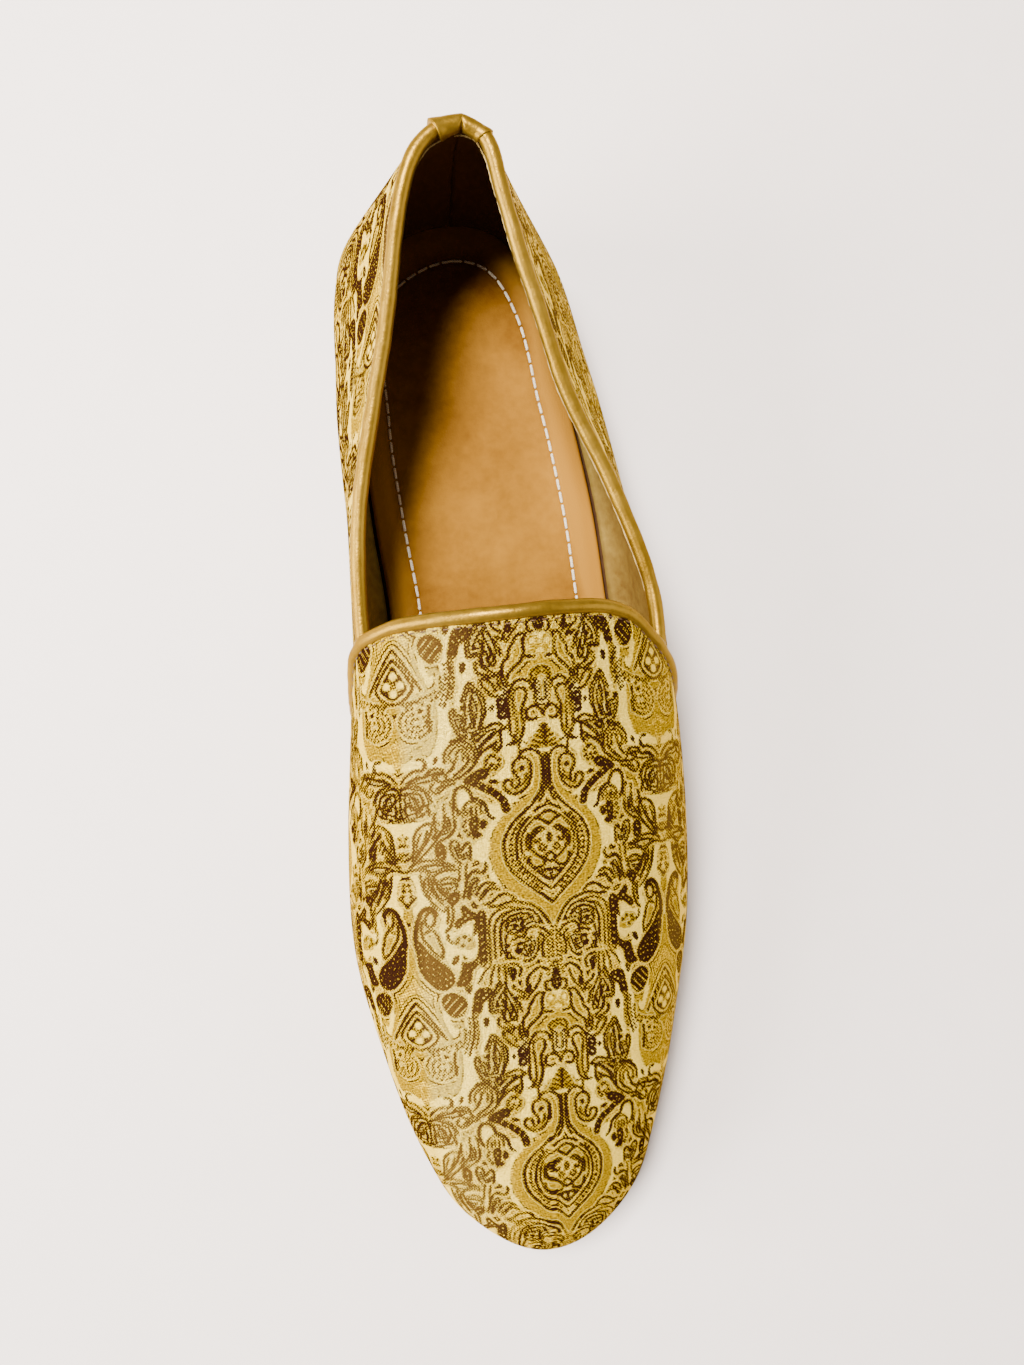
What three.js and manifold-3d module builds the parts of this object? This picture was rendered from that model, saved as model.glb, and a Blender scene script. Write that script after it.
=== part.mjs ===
// A left wedding slipper: a low slip-on shoe with a woven upper on a thin sole and a low heel.
// Millimetres, +Z up, toe towards -Y, outer (lateral) side of the foot towards +X, with the floor
// at z = 0 and the origin under the middle of the shoe.
//
// The last is a function of a turn and a level. The turn runs once around the shoe: from the back
// of the heel (0) along the lateral side to the tip of the toe (PI) and back along the medial
// side. The level climbs the wall: -1 is the feather line, where upper and sole meet, 0 is the
// widest line, 1 is the top line of the quarters and the shoulder of the vamp, and 2 is the crest
// over the middle of the foot. Each piece is a stack of rings taken from that function.

import * as THREE from 'three';
import { mergeVertices } from 'three/addons/utils/BufferGeometryUtils.js';
import Module from 'manifold-3d';

// ---- Driving dimensions -------------------------------------------------------------------

const LENGTH = 300; // tip of the toe to the back of the heel
const BALL_WIDTH = 95; // across the joints of the toes
const INSTEP_HEIGHT = 74; // floor to the top of the vamp at the throat
const HEEL_HEIGHT = 13;
const TOE_SPRING = 9; // lift of the sole under the tip of the toe
const SOLE_THICKNESS = 4;
const INSOLE_THICKNESS = 3;
const WALL = 2.2; // cloth, stiffening and lining of the upper together
const BINDING_RADIUS = 1.9; // rolled leather binding
const BINDING_PROUD = -0.2; // where the middle of the side binding's roll lies, off the wall
const TAB_THICKNESS = 1;
const TAB_HALF_TURN = 0.23; // how far the tab reaches round the heel on each side, in radians
const TAB_FOOT_LEVEL = 0.82; // the level that the tab hangs down to outside the heel
const TAB_INSIDE = 5; // how far it hangs down inside
const GAP = 0.3; // room between pieces that meet

// Where the lines of the last end, along Y.
const TOP_LINE_BACK = 142.3;
const SHOULDER_TOE = -139;
const CREST_BACK = 110;
const CREST_TOE = -98;

// The bed is what the foot stands on. It is level at the ball and at the seat of the heel.
const BALL_FRONT = -88;
const BALL_BACK = -35;
const SEAT_FRONT = 72;
const HEEL_BREAST = 78;
const HEEL_TAPER = 2.5;

const SOLE_MARGIN = 0.8; // how far the sole stands out past the feather line
const SOLE_ROUND = 0.9; // rounding of the sole's edge
const INSOLE_INSET = 2.5; // how far the insole stays inside the feather line
const MIDDLE_SHARE = 0.86; // length of a bed's middle line, as a share of its ring
const TUCK_TURN = 1; // angle that the lower wall turns in under the foot, in radians

const INSOLE_ROUND = 0.8; // rounding of the insole's upper edge
const HEEL_INSET = 0.6; // how far the heel stays inside the sole's edge
const BREAST_RADIUS = 130; // hollow of the heel's front face
const BINDING_FOOT = -0.8; // the level where the side binding ends, near the sole
const SIDE_BINDING_TOP = 0.75; // below this level the binding lies outside the quarters
const CORNER_SHARE = 0.7; // where the rim passes the vamp's corners, from heel to throat
const OPENING_CENTRE = 80; // middle of the opening, along Y
const CUT_MARGIN = 1; // how far the opening's cut runs past the wall inside and outside
const CUT_REACH = 6;

// How strongly the wall curves over: a share of the way from where it starts to the crest.
const CURVE_OVER_BELLY = 0.56;
const CURVE_OVER_SHOULDER = 1.15;

const RING_STEPS = 76;
const LOWER_STEPS = 3;
const WALL_STEPS = 6;
const CROWN_STEPS = 6;
const TUBE_SIDES = 10;
const COLLAR_STEPS = 64;
const THROAT_STEPS = 34;
const HALVINGS = 30; // enough to find a turn to within a millionth
const NEAR = 0.002; // step of turn or level for a slope
const MERGE_WITHIN = 0.0001;

// ---- The last, in sections from heel to toe -----------------------------------------------

// at: share of the length. The next five are shares of the ball width: the crest line's place to
// the side, the half widths at the widest line, and those at the top line and shoulder. Then come
// the heights of the widest line, the top line and the crest, as shares of the instep height. full
// is how upright the wall starts, lean is how far it leans in at the top line, and tuck is how far
// it turns in at its foot, in millimetres. In the first and last rows the half widths are the radii
// of the rounded ends.
const SECTIONS = table(
  ['at', 'centre', 'medial', 'lateral', 'topMedial', 'topLateral', 'belly', 'top', 'crest', 'full', 'lean',
    'tuck'],
  [0.00, -0.009, 0.330, 0.320, 0.145, 0.085, 0.385, 1.040, 1.260, 0.55, 0.60, 2.5],
  [0.04, -0.013, 0.290, 0.235, 0.150, 0.099, 0.385, 1.013, 1.260, 0.50, 0.60, 3.0],
  [0.09, -0.016, 0.356, 0.311, 0.192, 0.134, 0.384, 0.966, 1.249, 0.45, 0.60, 4.0],
  [0.15, -0.017, 0.374, 0.353, 0.231, 0.186, 0.383, 0.897, 1.226, 0.40, 0.55, 4.8],
  [0.21, -0.016, 0.388, 0.392, 0.282, 0.236, 0.377, 0.829, 1.192, 0.40, 0.50, 5.2],
  [0.30, -0.007, 0.396, 0.427, 0.359, 0.339, 0.370, 0.760, 1.097, 0.50, 0.45, 5.6],
  [0.40, 0.006, 0.402, 0.444, 0.399, 0.414, 0.363, 0.719, 1.007, 0.65, 0.50, 6.0],
  [0.50, 0.013, 0.460, 0.472, 0.395, 0.395, 0.349, 0.726, 0.930, 0.75, 0.80, 6.0],
  [0.60, 0.011, 0.499, 0.482, 0.390, 0.375, 0.336, 0.671, 0.855, 0.80, 1.00, 5.8],
  [0.70, 0.004, 0.504, 0.471, 0.379, 0.343, 0.308, 0.596, 0.777, 0.80, 1.00, 5.5],
  [0.80, -0.002, 0.443, 0.408, 0.326, 0.300, 0.281, 0.518, 0.697, 0.80, 1.00, 5.2],
  [0.90, -0.011, 0.342, 0.323, 0.243, 0.237, 0.253, 0.445, 0.620, 0.80, 1.00, 4.6],
  [0.96, -0.017, 0.228, 0.235, 0.156, 0.160, 0.233, 0.403, 0.580, 0.80, 1.00, 4.0],
  [1.00, -0.019, 0.165, 0.210, 0.150, 0.156, 0.219, 0.380, 0.556, 0.80, 1.00, 3.5],
);

// The edge of the vamp, from the sole up each side to the crest: the place along Y where it
// passes each level.
const VAMP_EDGE = table(
  ['level', 'medial', 'lateral'],
  [-1.00, 4.0, -1.5],
  [-0.50, 5.2, -0.8],
  [0.00, 7.2, 0.4],
  [0.35, 10.8, 2.6],
  [0.60, 15.5, 6.0],
  [0.80, 19.9, 10.3],
  [1.00, 22.8, 14.2],
  [1.20, 24.4, 18.4],
  [1.35, 25.5, 22.8],
  [1.50, 25.7, 25.0],
  [1.75, 25.4, 25.6],
  [2.00, 25.3, 25.3],
);

function table(names, ...rows) {
  return Object.fromEntries(names.map((name, i) => [name, rows.map((row) => row[i])]));
}

// ---- Curves through the tables ------------------------------------------------------------

// A cubic from a to b that leaves a along leave and reaches b along arrive.
function hermite(a, b, leave, arrive, t) {
  const ends = a * (1 + 2 * t) * (1 - t) ** 2 + b * t * t * (3 - 2 * t);
  return ends + leave * t * (1 - t) ** 2 + arrive * t * t * (t - 1);
}

// A smooth curve through the points x, y. Its slope at each point comes from the two neighbours.
function smoothCurve(x, y) {
  const last = x.length - 1;
  const step = x.slice(1).map((value, i) => value - x[i]);
  const rise = step.map((width, i) => (y[i + 1] - y[i]) / width);
  const slope = y.map((_, i) => {
    if (i === 0 || i === last) return 0;
    return (rise[i - 1] * step[i] + rise[i] * step[i - 1]) / (step[i - 1] + step[i]);
  });
  slope[0] = (3 * rise[0] - slope[1]) / 2;
  slope[last] = (3 * rise[last - 1] - slope[last - 1]) / 2;
  return (value) => {
    const at = THREE.MathUtils.clamp(value, x[0], x[last]);
    const i = Math.max(0, x.slice(0, last).findLastIndex((start) => start <= at));
    const t = (at - x[i]) / step[i];
    return hermite(y[i], y[i + 1], slope[i] * step[i], slope[i + 1] * step[i], t);
  };
}

const heights = (field) => SECTIONS[field].map((share) => share * INSTEP_HEIGHT);
const centreAt = smoothCurve(SECTIONS.at, SECTIONS.centre.map((share) => share * BALL_WIDTH));
const bellyAt = smoothCurve(SECTIONS.at, heights('belly'));
const topAt = smoothCurve(SECTIONS.at, heights('top'));
const crestAt = smoothCurve(SECTIONS.at, heights('crest'));
const fullAt = smoothCurve(SECTIONS.at, SECTIONS.full);
const leanAt = smoothCurve(SECTIONS.at, SECTIONS.lean);
const tuckAt = smoothCurve(SECTIONS.at, SECTIONS.tuck);

// A half width with rounded ends: the table's value over that of a circle, as a smooth curve.
function roundedWidth(field, span) {
  const last = SECTIONS.at.length - 1;
  const shares = SECTIONS[field].map((share, i) => {
    const width = share * BALL_WIDTH;
    if (i === 0 || i === last) return Math.sqrt((width * span) / 2);
    return width / Math.sqrt(4 * SECTIONS.at[i] * (1 - SECTIONS.at[i]));
  });
  return smoothCurve(SECTIONS.at, shares);
}

// One line around the last, seen from above. Its places run from back to toe as a cosine.
function outline(medial, lateral, back, toe) {
  const medialWidth = roundedWidth(medial, back - toe);
  const lateralWidth = roundedWidth(lateral, back - toe);
  return (turn) => {
    const at = (1 - Math.cos(turn)) / 2;
    const y = THREE.MathUtils.lerp(back, toe, at);
    const width = Math.sin(turn) < 0 ? medialWidth(at) : lateralWidth(at);
    return new THREE.Vector3(centreAt(shareAlong(y)) + width * Math.sin(turn), y, 0);
  };
}

const shareAlong = (y) => 0.5 - y / LENGTH;
const widestLine = outline('medial', 'lateral', LENGTH / 2, -LENGTH / 2);
const topLine = outline('topMedial', 'topLateral', TOP_LINE_BACK, SHOULDER_TOE);

// ---- The last -----------------------------------------------------------------------------

// The height of the sole's lower face: level at the ball, level at the heel seat, and lifted at
// the toe.
function soleHeight(y) {
  const heel = HEEL_HEIGHT * THREE.MathUtils.smoothstep(y, BALL_BACK, SEAT_FRONT);
  const toe = Math.max(0, (y - BALL_FRONT) / (-LENGTH / 2 - BALL_FRONT));
  return heel + TOE_SPRING * toe ** 2;
}

const bedHeight = (y) => soleHeight(y) + SOLE_THICKNESS;

function crestPoint(turn) {
  const at = (1 - Math.cos(turn)) / 2;
  const y = THREE.MathUtils.lerp(CREST_BACK, CREST_TOE, at);
  return new THREE.Vector3(centreAt(shareAlong(y)), y, crestAt(at));
}

// How much the crest rises along Y at this turn.
function crestSlope(turn) {
  const at = (1 - Math.cos(turn)) / 2;
  const before = Math.max(at - NEAR / 2, 0);
  const after = Math.min(at + NEAR / 2, 1);
  return (crestAt(after) - crestAt(before)) / ((after - before) * (CREST_TOE - CREST_BACK));
}

// The outer surface of the upper.
function last(turn, level) {
  const at = (1 - Math.cos(turn)) / 2;
  const belly = widestLine(turn).setZ(bellyAt(at));
  const crest = crestPoint(turn);
  if (level < 0) return lowerWall(belly, crest, at, -level);
  const shoulder = topLine(turn).setZ(topAt(at));
  const across = crest.clone().sub(belly).multiplyScalar(CURVE_OVER_BELLY);
  across.x *= leanAt(at);
  across.y *= leanAt(at);
  if (level <= 1) {
    const upright = new THREE.Vector3(0, 0, fullAt(at) * (shoulder.z - belly.z));
    return join(belly, shoulder, upright, across, level);
  }
  const over = crest.clone().sub(shoulder).multiplyScalar(CURVE_OVER_SHOULDER);
  over.z = over.y * crestSlope(turn);
  return join(shoulder, crest, across, over, level - 1);
}

// Below the widest line the wall turns in along a quarter of an ellipse, down to the bed.
function lowerWall(belly, crest, at, depth) {
  const angle = depth * TUCK_TURN;
  const inward = inwards(belly, crest);
  const foot = belly.clone().addScaledVector(inward, tuckAt(at));
  const tuck = tuckAt(at) * (1 - Math.cos(angle)) / (1 - Math.cos(TUCK_TURN));
  const drop = (belly.z - bedHeight(foot.y)) * Math.sin(angle) / Math.sin(TUCK_TURN);
  return belly.clone().addScaledVector(inward, tuck).setZ(belly.z - drop);
}

const inwards = (belly, crest) => crest.clone().sub(belly).setZ(0).normalize();

function join(from, to, leave, arrive, t) {
  const axes = ['x', 'y', 'z'];
  const values = axes.map((axis) => hermite(from[axis], to[axis], leave[axis], arrive[axis], t));
  return new THREE.Vector3(...values);
}

// The outward direction of the last's surface. On the crest both sides share one direction.
function normal(turn, level) {
  if (level > 2 - 5 * NEAR) return new THREE.Vector3(0, -crestSlope(turn), 1).normalize();
  const around = last(turn + NEAR, level).sub(last(turn - NEAR, level));
  const up = last(turn, Math.min(level + NEAR, 2)).sub(last(turn, Math.max(level - NEAR, -1)));
  return up.cross(around).normalize();
}

const offLast = (turn, level, distance) =>
  last(turn, level).addScaledVector(normal(turn, level), distance);

// ---- Solids from rings --------------------------------------------------------------------

const wasm = await Module();
wasm.setup();

const spread = (from, to, count) =>
  Array.from({ length: count + 1 }, (_, i) => THREE.MathUtils.lerp(from, to, i / count));

const ringTurns = spread(0, 2 * Math.PI, RING_STEPS).slice(0, -1);

// A closed body from rings that are stacked from the bottom up, as seen from outside. The first
// and the last ring are middle lines: a turn and its mirror image give the same point there, so
// the body closes along them.
function stack(rings) {
  const corners = [];
  const faces = [];
  const count = RING_STEPS;
  rings.forEach((ring) => ringTurns.forEach((turn) => corners.push(...ring(turn).toArray())));
  for (let level = 0; level < rings.length - 1; level += 1) {
    for (let i = 0; i < count; i += 1) {
      const a = level * count + i;
      const b = level * count + (i + 1) % count;
      faces.push(a, b + count, b, a, a + count, b + count);
    }
  }
  const geometry = new THREE.BufferGeometry();
  geometry.setAttribute('position', new THREE.Float32BufferAttribute(corners, 3));
  geometry.setIndex(faces);
  return geometry;
}

// The line of points halfway between a ring's two sides, drawn in from both ends.
function middleOf(ring, centre = 0) {
  return (turn) => {
    const middle = ring(turn).add(ring(-turn)).multiplyScalar(0.5);
    middle.y = THREE.MathUtils.lerp(centre, middle.y, MIDDLE_SHARE);
    return middle;
  };
}

function toManifold(geometry) {
  const plain = geometry.clone();
  plain.deleteAttribute('normal');
  plain.deleteAttribute('uv');
  const merged = mergeVertices(plain, MERGE_WITHIN);
  const index = Array.from(merged.index.array);
  const triVerts = [];
  for (let i = 0; i < index.length; i += 3) {
    const [a, b, c] = index.slice(i, i + 3);
    if (a !== b && b !== c && c !== a) triVerts.push(a, b, c);
  }
  const vertProperties = new Float32Array(merged.attributes.position.array);
  const mesh = new wasm.Mesh({ numProp: 3, vertProperties, triVerts: new Uint32Array(triVerts) });
  return new wasm.Manifold(mesh);
}

function toGeometry(solid) {
  const mesh = solid.getMesh();
  const geometry = new THREE.BufferGeometry();
  geometry.setAttribute('position', new THREE.Float32BufferAttribute(mesh.vertProperties, 3));
  geometry.setIndex(Array.from(mesh.triVerts));
  geometry.computeVertexNormals();
  return geometry;
}

// ---- Sole, heel and insole ----------------------------------------------------------------

// A ring at the foot of the upper, moved in by inset and lifted above the sole's lower face.
function soleRing(inset, lift) {
  return (turn) => {
    const foot = last(turn, -1).addScaledVector(inwards(widestLine(turn), crestPoint(turn)), inset);
    return foot.setZ(soleHeight(foot.y) + lift);
  };
}

// The middle line of such a ring, at the height that the sole has there.
function soleMiddle(inset, lift) {
  const middle = middleOf(soleRing(inset, lift));
  return (turn) => {
    const point = middle(turn);
    return point.setZ(soleHeight(point.y) + lift);
  };
}

function outsole() {
  const top = SOLE_THICKNESS - GAP;
  return toManifold(stack([
    soleMiddle(SOLE_ROUND - SOLE_MARGIN, 0),
    soleRing(SOLE_ROUND - SOLE_MARGIN, 0),
    soleRing(-SOLE_MARGIN, SOLE_ROUND),
    soleRing(-SOLE_MARGIN, top),
    soleMiddle(-SOLE_MARGIN, top),
  ]));
}

function insole() {
  const top = SOLE_THICKNESS + INSOLE_THICKNESS;
  return toManifold(stack([
    soleMiddle(INSOLE_INSET, SOLE_THICKNESS),
    soleRing(INSOLE_INSET, SOLE_THICKNESS),
    soleRing(INSOLE_INSET, top - INSOLE_ROUND),
    soleRing(INSOLE_INSET + INSOLE_ROUND, top),
    soleMiddle(INSOLE_INSET + INSOLE_ROUND, top),
  ]));
}

// The heel is the rear of the sole's outline, carried down to the floor with a slight taper and
// cut off in front by a large cylinder, which makes its breast hollow.
function heel() {
  const level = (inset, height) => (turn) => soleRing(inset - SOLE_MARGIN, 0)(turn).setZ(height);
  const foot = level(HEEL_TAPER, 0);
  const head = level(HEEL_INSET, HEEL_HEIGHT - GAP);
  const block = toManifold(stack([middleOf(foot), foot, head, middleOf(head)]));
  const hollow = new THREE.CylinderGeometry(BREAST_RADIUS, BREAST_RADIUS, 4 * HEEL_HEIGHT, RING_STEPS);
  hollow.rotateX(Math.PI / 2);
  hollow.translate(0, HEEL_BREAST - BREAST_RADIUS, 0);
  return block.subtract(toManifold(hollow));
}

// ---- Upper --------------------------------------------------------------------------------

const wallLevels = [
  ...spread(-1, 0, LOWER_STEPS).slice(0, -1),
  ...spread(0, 1, WALL_STEPS).slice(0, -1),
  ...spread(1, 2, CROWN_STEPS),
];

// The turn at which a level of the last passes a place along Y, on one side: 1 is the lateral
// side and -1 the medial side.
function turnAt(level, y, side) {
  let back = 0;
  let toe = Math.PI;
  for (let i = 0; i < HALVINGS; i += 1) {
    const middle = (back + toe) / 2;
    if (last(side * middle, level).y > y) back = middle;
    else toe = middle;
  }
  return (side * (back + toe)) / 2;
}

const edgeAt = {
  [-1]: smoothCurve(VAMP_EDGE.level, VAMP_EDGE.medial),
  [1]: smoothCurve(VAMP_EDGE.level, VAMP_EDGE.lateral),
};
const vampEdge = (side, level) => ({ turn: turnAt(level, edgeAt[side](level), side), level });
const corner = { [-1]: vampEdge(-1, 1).turn, 1: vampEdge(1, 1).turn };

// The rim of the opening, as a turn of its own: back along the top line from the heel to the
// vamp's corner, then up along the vamp's edge to the crest.
function rim(turn) {
  const side = Math.sin(turn) < 0 ? -1 : 1;
  const share = Math.acos(Math.cos(turn)) / Math.PI;
  if (share <= CORNER_SHARE) return { turn: (corner[side] * share) / CORNER_SHARE, level: 1 };
  return vampEdge(side, 1 + (share - CORNER_SHARE) / (1 - CORNER_SHARE));
}

// What the opening takes away: all that lies above a band that crosses the wall at the rim.
function openingCutter() {
  const offRim = (distance) => (turn) => offLast(rim(turn).turn, rim(turn).level, distance);
  const inside = offRim(-WALL - CUT_MARGIN);
  const outside = offRim(CUT_REACH);
  const above = (turn) => outside(turn).setZ(2 * INSTEP_HEIGHT);
  return toManifold(stack([
    middleOf(inside, OPENING_CENTRE),
    inside,
    outside,
    above,
    middleOf(above, OPENING_CENTRE),
  ]));
}

function upper() {
  const feather = (turn) => last(turn, -1);
  const outer = stack([middleOf(feather), ...wallLevels.map((level) => (turn) => last(turn, level))]);
  const lining = wallLevels.map((level) => (turn) => offLast(turn, level, -WALL));
  const below = (turn) => lining[0](turn).add(new THREE.Vector3(0, 0, -2 * SOLE_THICKNESS));
  const inner = stack([middleOf(below), below, ...lining]);
  return toManifold(outer)
    .subtract(toManifold(inner))
    .subtract(openingCutter())
    .subtract(collarRoll(GAP))
    .subtract(throatRoll(GAP, SIDE_BINDING_TOP));
}

// ---- Bindings and heel tab ----------------------------------------------------------------

// A closed body through sections of equal length, with flat ends.
function loft(sections) {
  const count = sections[0].length;
  const faces = [];
  for (let row = 0; row < sections.length - 1; row += 1) {
    for (let i = 0; i < count; i += 1) {
      const a = row * count + i;
      const b = row * count + (i + 1) % count;
      faces.push(a, b, b + count, a, b + count, a + count);
    }
  }
  const far = (sections.length - 1) * count;
  const cap = (section) => THREE.ShapeUtils.triangulateShape(flatten(section), []);
  cap(sections[0]).forEach(([a, b, c]) => faces.push(a, c, b));
  cap(sections.at(-1)).forEach(([a, b, c]) => faces.push(a + far, b + far, c + far));
  const geometry = new THREE.BufferGeometry();
  const corners = sections.flat().flatMap((corner) => corner.toArray());
  geometry.setAttribute('position', new THREE.Float32BufferAttribute(corners, 3));
  geometry.setIndex(faces);
  return geometry;
}

// A flat section as a drawing in its own plane.
function flatten(section) {
  const across = section[1].clone().sub(section[0]).normalize();
  const facing = section.reduce(
    (sum, corner, i) => sum.add(corner.clone().cross(section[(i + 1) % section.length])),
    new THREE.Vector3(),
  ).normalize();
  const up = facing.cross(across);
  return section.map((corner) => new THREE.Vector2(corner.dot(across), corner.dot(up)));
}

// A rolled binding along a path of places on the last, made thicker all round by grow. Each place
// says how far the roll's middle stands off the surface, and how near the surface its underside
// may come.
function roll(path, grow) {
  const radius = BINDING_RADIUS + grow;
  const middle = path.map((place) => offLast(place.turn, place.level, place.off));
  return toManifold(loft(path.map((place, i) => {
    const ahead = middle[Math.min(i + 1, path.length - 1)].clone();
    ahead.sub(middle[Math.max(i - 1, 0)]).normalize();
    const up = normal(place.turn, place.level);
    const side = new THREE.Vector3().crossVectors(up, ahead).normalize();
    up.crossVectors(ahead, side);
    return spread(0, 2 * Math.PI, TUBE_SIDES).slice(0, -1).map((angle) => {
      const rise = Math.max(radius * Math.sin(angle), place.floor - grow - place.off);
      const point = middle[i].clone().addScaledVector(side, radius * Math.cos(angle));
      return point.addScaledVector(up, rise);
    });
  })));
}

// Around the top line, from corner to corner, with its middle in the middle of the wall.
function collarRoll(grow) {
  const path = spread(corner[-1], corner[1], COLLAR_STEPS).map((turn) => (
    { turn, level: 1, off: -WALL / 2, floor: -Infinity }
  ));
  return roll(path, grow);
}

// Along the vamp's edge. Over the throat it is rolled around the rim, and below the corners it
// lies on the quarters.
function throatPlace(side, level) {
  const onRim = THREE.MathUtils.smoothstep(level, SIDE_BINDING_TOP, 1);
  return {
    ...vampEdge(side, level),
    off: THREE.MathUtils.lerp(BINDING_PROUD, -WALL / 2, onRim),
    floor: level < SIDE_BINDING_TOP ? GAP : THREE.MathUtils.lerp(GAP, -2 * WALL, onRim),
  };
}

function throatRoll(grow, foot) {
  const half = (side) =>
    spread(foot, 2, Math.round((THROAT_STEPS * (2 - foot)) / 2)).map((level) => throatPlace(side, level));
  return roll([...half(-1), ...half(1).reverse().slice(1)], grow);
}

// A strip of leather folded over the binding at the back seam. Its section runs up outside the
// heel, over the binding and a little way down inside.
function heelTab() {
  const inner = BINDING_RADIUS + GAP;
  const outer = inner + TAB_THICKNESS;
  const arc = spread(0, Math.PI, TUBE_SIDES);
  const sections = spread(-TAB_HALF_TURN, TAB_HALF_TURN, TUBE_SIDES).map((turn) => {
    const hub = offLast(turn, 1, -WALL / 2);
    const out = normal(turn, 1).setZ(0).normalize();
    const place = (reach, rise) => hub.clone().addScaledVector(out, reach).setZ(hub.z + rise);
    return [
      offLast(turn, TAB_FOOT_LEVEL, GAP + TAB_THICKNESS),
      ...arc.map((angle) => place(outer * Math.cos(angle), outer * Math.sin(angle))),
      place(-outer, -TAB_INSIDE),
      place(-inner, -TAB_INSIDE),
      ...arc.map((angle) => place(-inner * Math.cos(angle), inner * Math.sin(angle))),
      offLast(turn, TAB_FOOT_LEVEL, GAP),
    ];
  });
  return toManifold(loft(sections));
}

// ---- Assembly -----------------------------------------------------------------------------

const finishes = {
  brocade: new THREE.MeshStandardMaterial({ color: 0xc9ad6b, roughness: 0.55, metalness: 0.1 }),
  goldLeather: new THREE.MeshStandardMaterial({ color: 0xb8924f, roughness: 0.35, metalness: 0.4 }),
  insoleLeather: new THREE.MeshStandardMaterial({ color: 0xd9a877, roughness: 0.5, metalness: 0 }),
  soleLeather: new THREE.MeshStandardMaterial({ color: 0x6b4a2c, roughness: 0.6, metalness: 0 }),
  heelStack: new THREE.MeshStandardMaterial({ color: 0x3d2a1c, roughness: 0.6, metalness: 0 }),
};

const shoe = new THREE.Group();

function addPiece(name, solid, material) {
  const piece = new THREE.Mesh(toGeometry(solid), material);
  piece.name = name;
  shoe.add(piece);
}

addPiece('outsole', outsole(), finishes.soleLeather);
addPiece('heel', heel(), finishes.heelStack);
addPiece('insole', insole(), finishes.insoleLeather);
addPiece('upper', upper(), finishes.brocade);
addPiece('throat_binding', throatRoll(0, BINDING_FOOT), finishes.goldLeather);
addPiece(
  'collar_binding',
  collarRoll(0).subtract(throatRoll(GAP, 0)),
  finishes.goldLeather,
);
addPiece('heel_tab', heelTab(), finishes.goldLeather);

export default shoe;
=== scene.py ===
# %% [markdown]
# # A brocade slip-on wedding shoe
# This lesson dresses a finished construction model. The model already holds the real sizes of
# sole, heel, insole, upper and bindings. Blender adds what the eye enjoys: woven cloth, rolled
# leather, stitches and soft light. Every piece is worked out as a numpy surface, because a shoe is
# one smooth form, its last, and each piece is that form moved in or out by a millimetre or two.

import bpy
import numpy as np
from mathutils import Matrix, Vector


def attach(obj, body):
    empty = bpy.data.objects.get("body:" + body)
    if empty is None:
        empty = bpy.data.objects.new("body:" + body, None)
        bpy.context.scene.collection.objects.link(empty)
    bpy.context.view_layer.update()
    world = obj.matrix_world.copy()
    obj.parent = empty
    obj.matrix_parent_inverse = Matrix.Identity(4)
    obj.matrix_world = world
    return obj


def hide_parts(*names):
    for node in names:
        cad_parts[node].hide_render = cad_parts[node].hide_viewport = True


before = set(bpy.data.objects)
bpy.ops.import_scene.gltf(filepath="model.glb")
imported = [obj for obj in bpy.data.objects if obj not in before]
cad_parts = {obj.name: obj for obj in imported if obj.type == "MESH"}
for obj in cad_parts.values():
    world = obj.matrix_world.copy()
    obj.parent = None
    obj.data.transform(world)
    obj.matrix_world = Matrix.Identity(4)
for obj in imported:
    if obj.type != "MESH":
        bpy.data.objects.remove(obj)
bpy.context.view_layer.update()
BODY = "root"
MM = 0.001

# %% [markdown]
# ## The last, as a table of sections
# A last is the wooden form that a shoe is pulled over. It could be sculpted, but then binding, vamp
# and lining would never agree on where the edge runs. Here it is a function of a turn around the
# shoe (0 at the heel, pi at the toe, minus on the inner side) and a level up the wall (-1 where
# the upper meets the sole, 0 at the widest line, 1 at the top line, 2 along the crest). The rows
# are sections from heel to toe. Their places are shares of the length, the middle and the widths
# are shares of the ball's width, and belly, top and crest are shares of the instep's height. Full
# says how steeply the wall leaves its widest line, lean how far it leans in at the top line, and
# tuck how many millimetres it goes under to meet the sole.

# %% Driving sizes and the table of sections, in millimetres
LENGTH, BALL_WIDTH, INSTEP_HEIGHT = 300, 95, 74
HEEL_HEIGHT, TOE_SPRING, SOLE_THICKNESS, INSOLE_THICKNESS = 13, 9, 4, 3
BALL_FRONT, BALL_BACK, SEAT_FRONT = -88, -35, 72
# Places along Y where the widest line, the top line and the crest end, at the heel and the toe.
WIDEST_ENDS, TOP_LINE_ENDS, CREST_ENDS = (150.0, -150.0), (142.3, -139.0), (110.0, -98.0)
WALL, BINDING_RADIUS = 2.2, 1.9
TUCK_TURN = 1.0
CURVE_OVER_BELLY, CURVE_OVER_SHOULDER = 0.56, 1.15


def table(names, rows):
    """Rows of numbers as one array for each named column."""
    return dict(zip(names.split(), np.array(rows, float).T))


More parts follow.
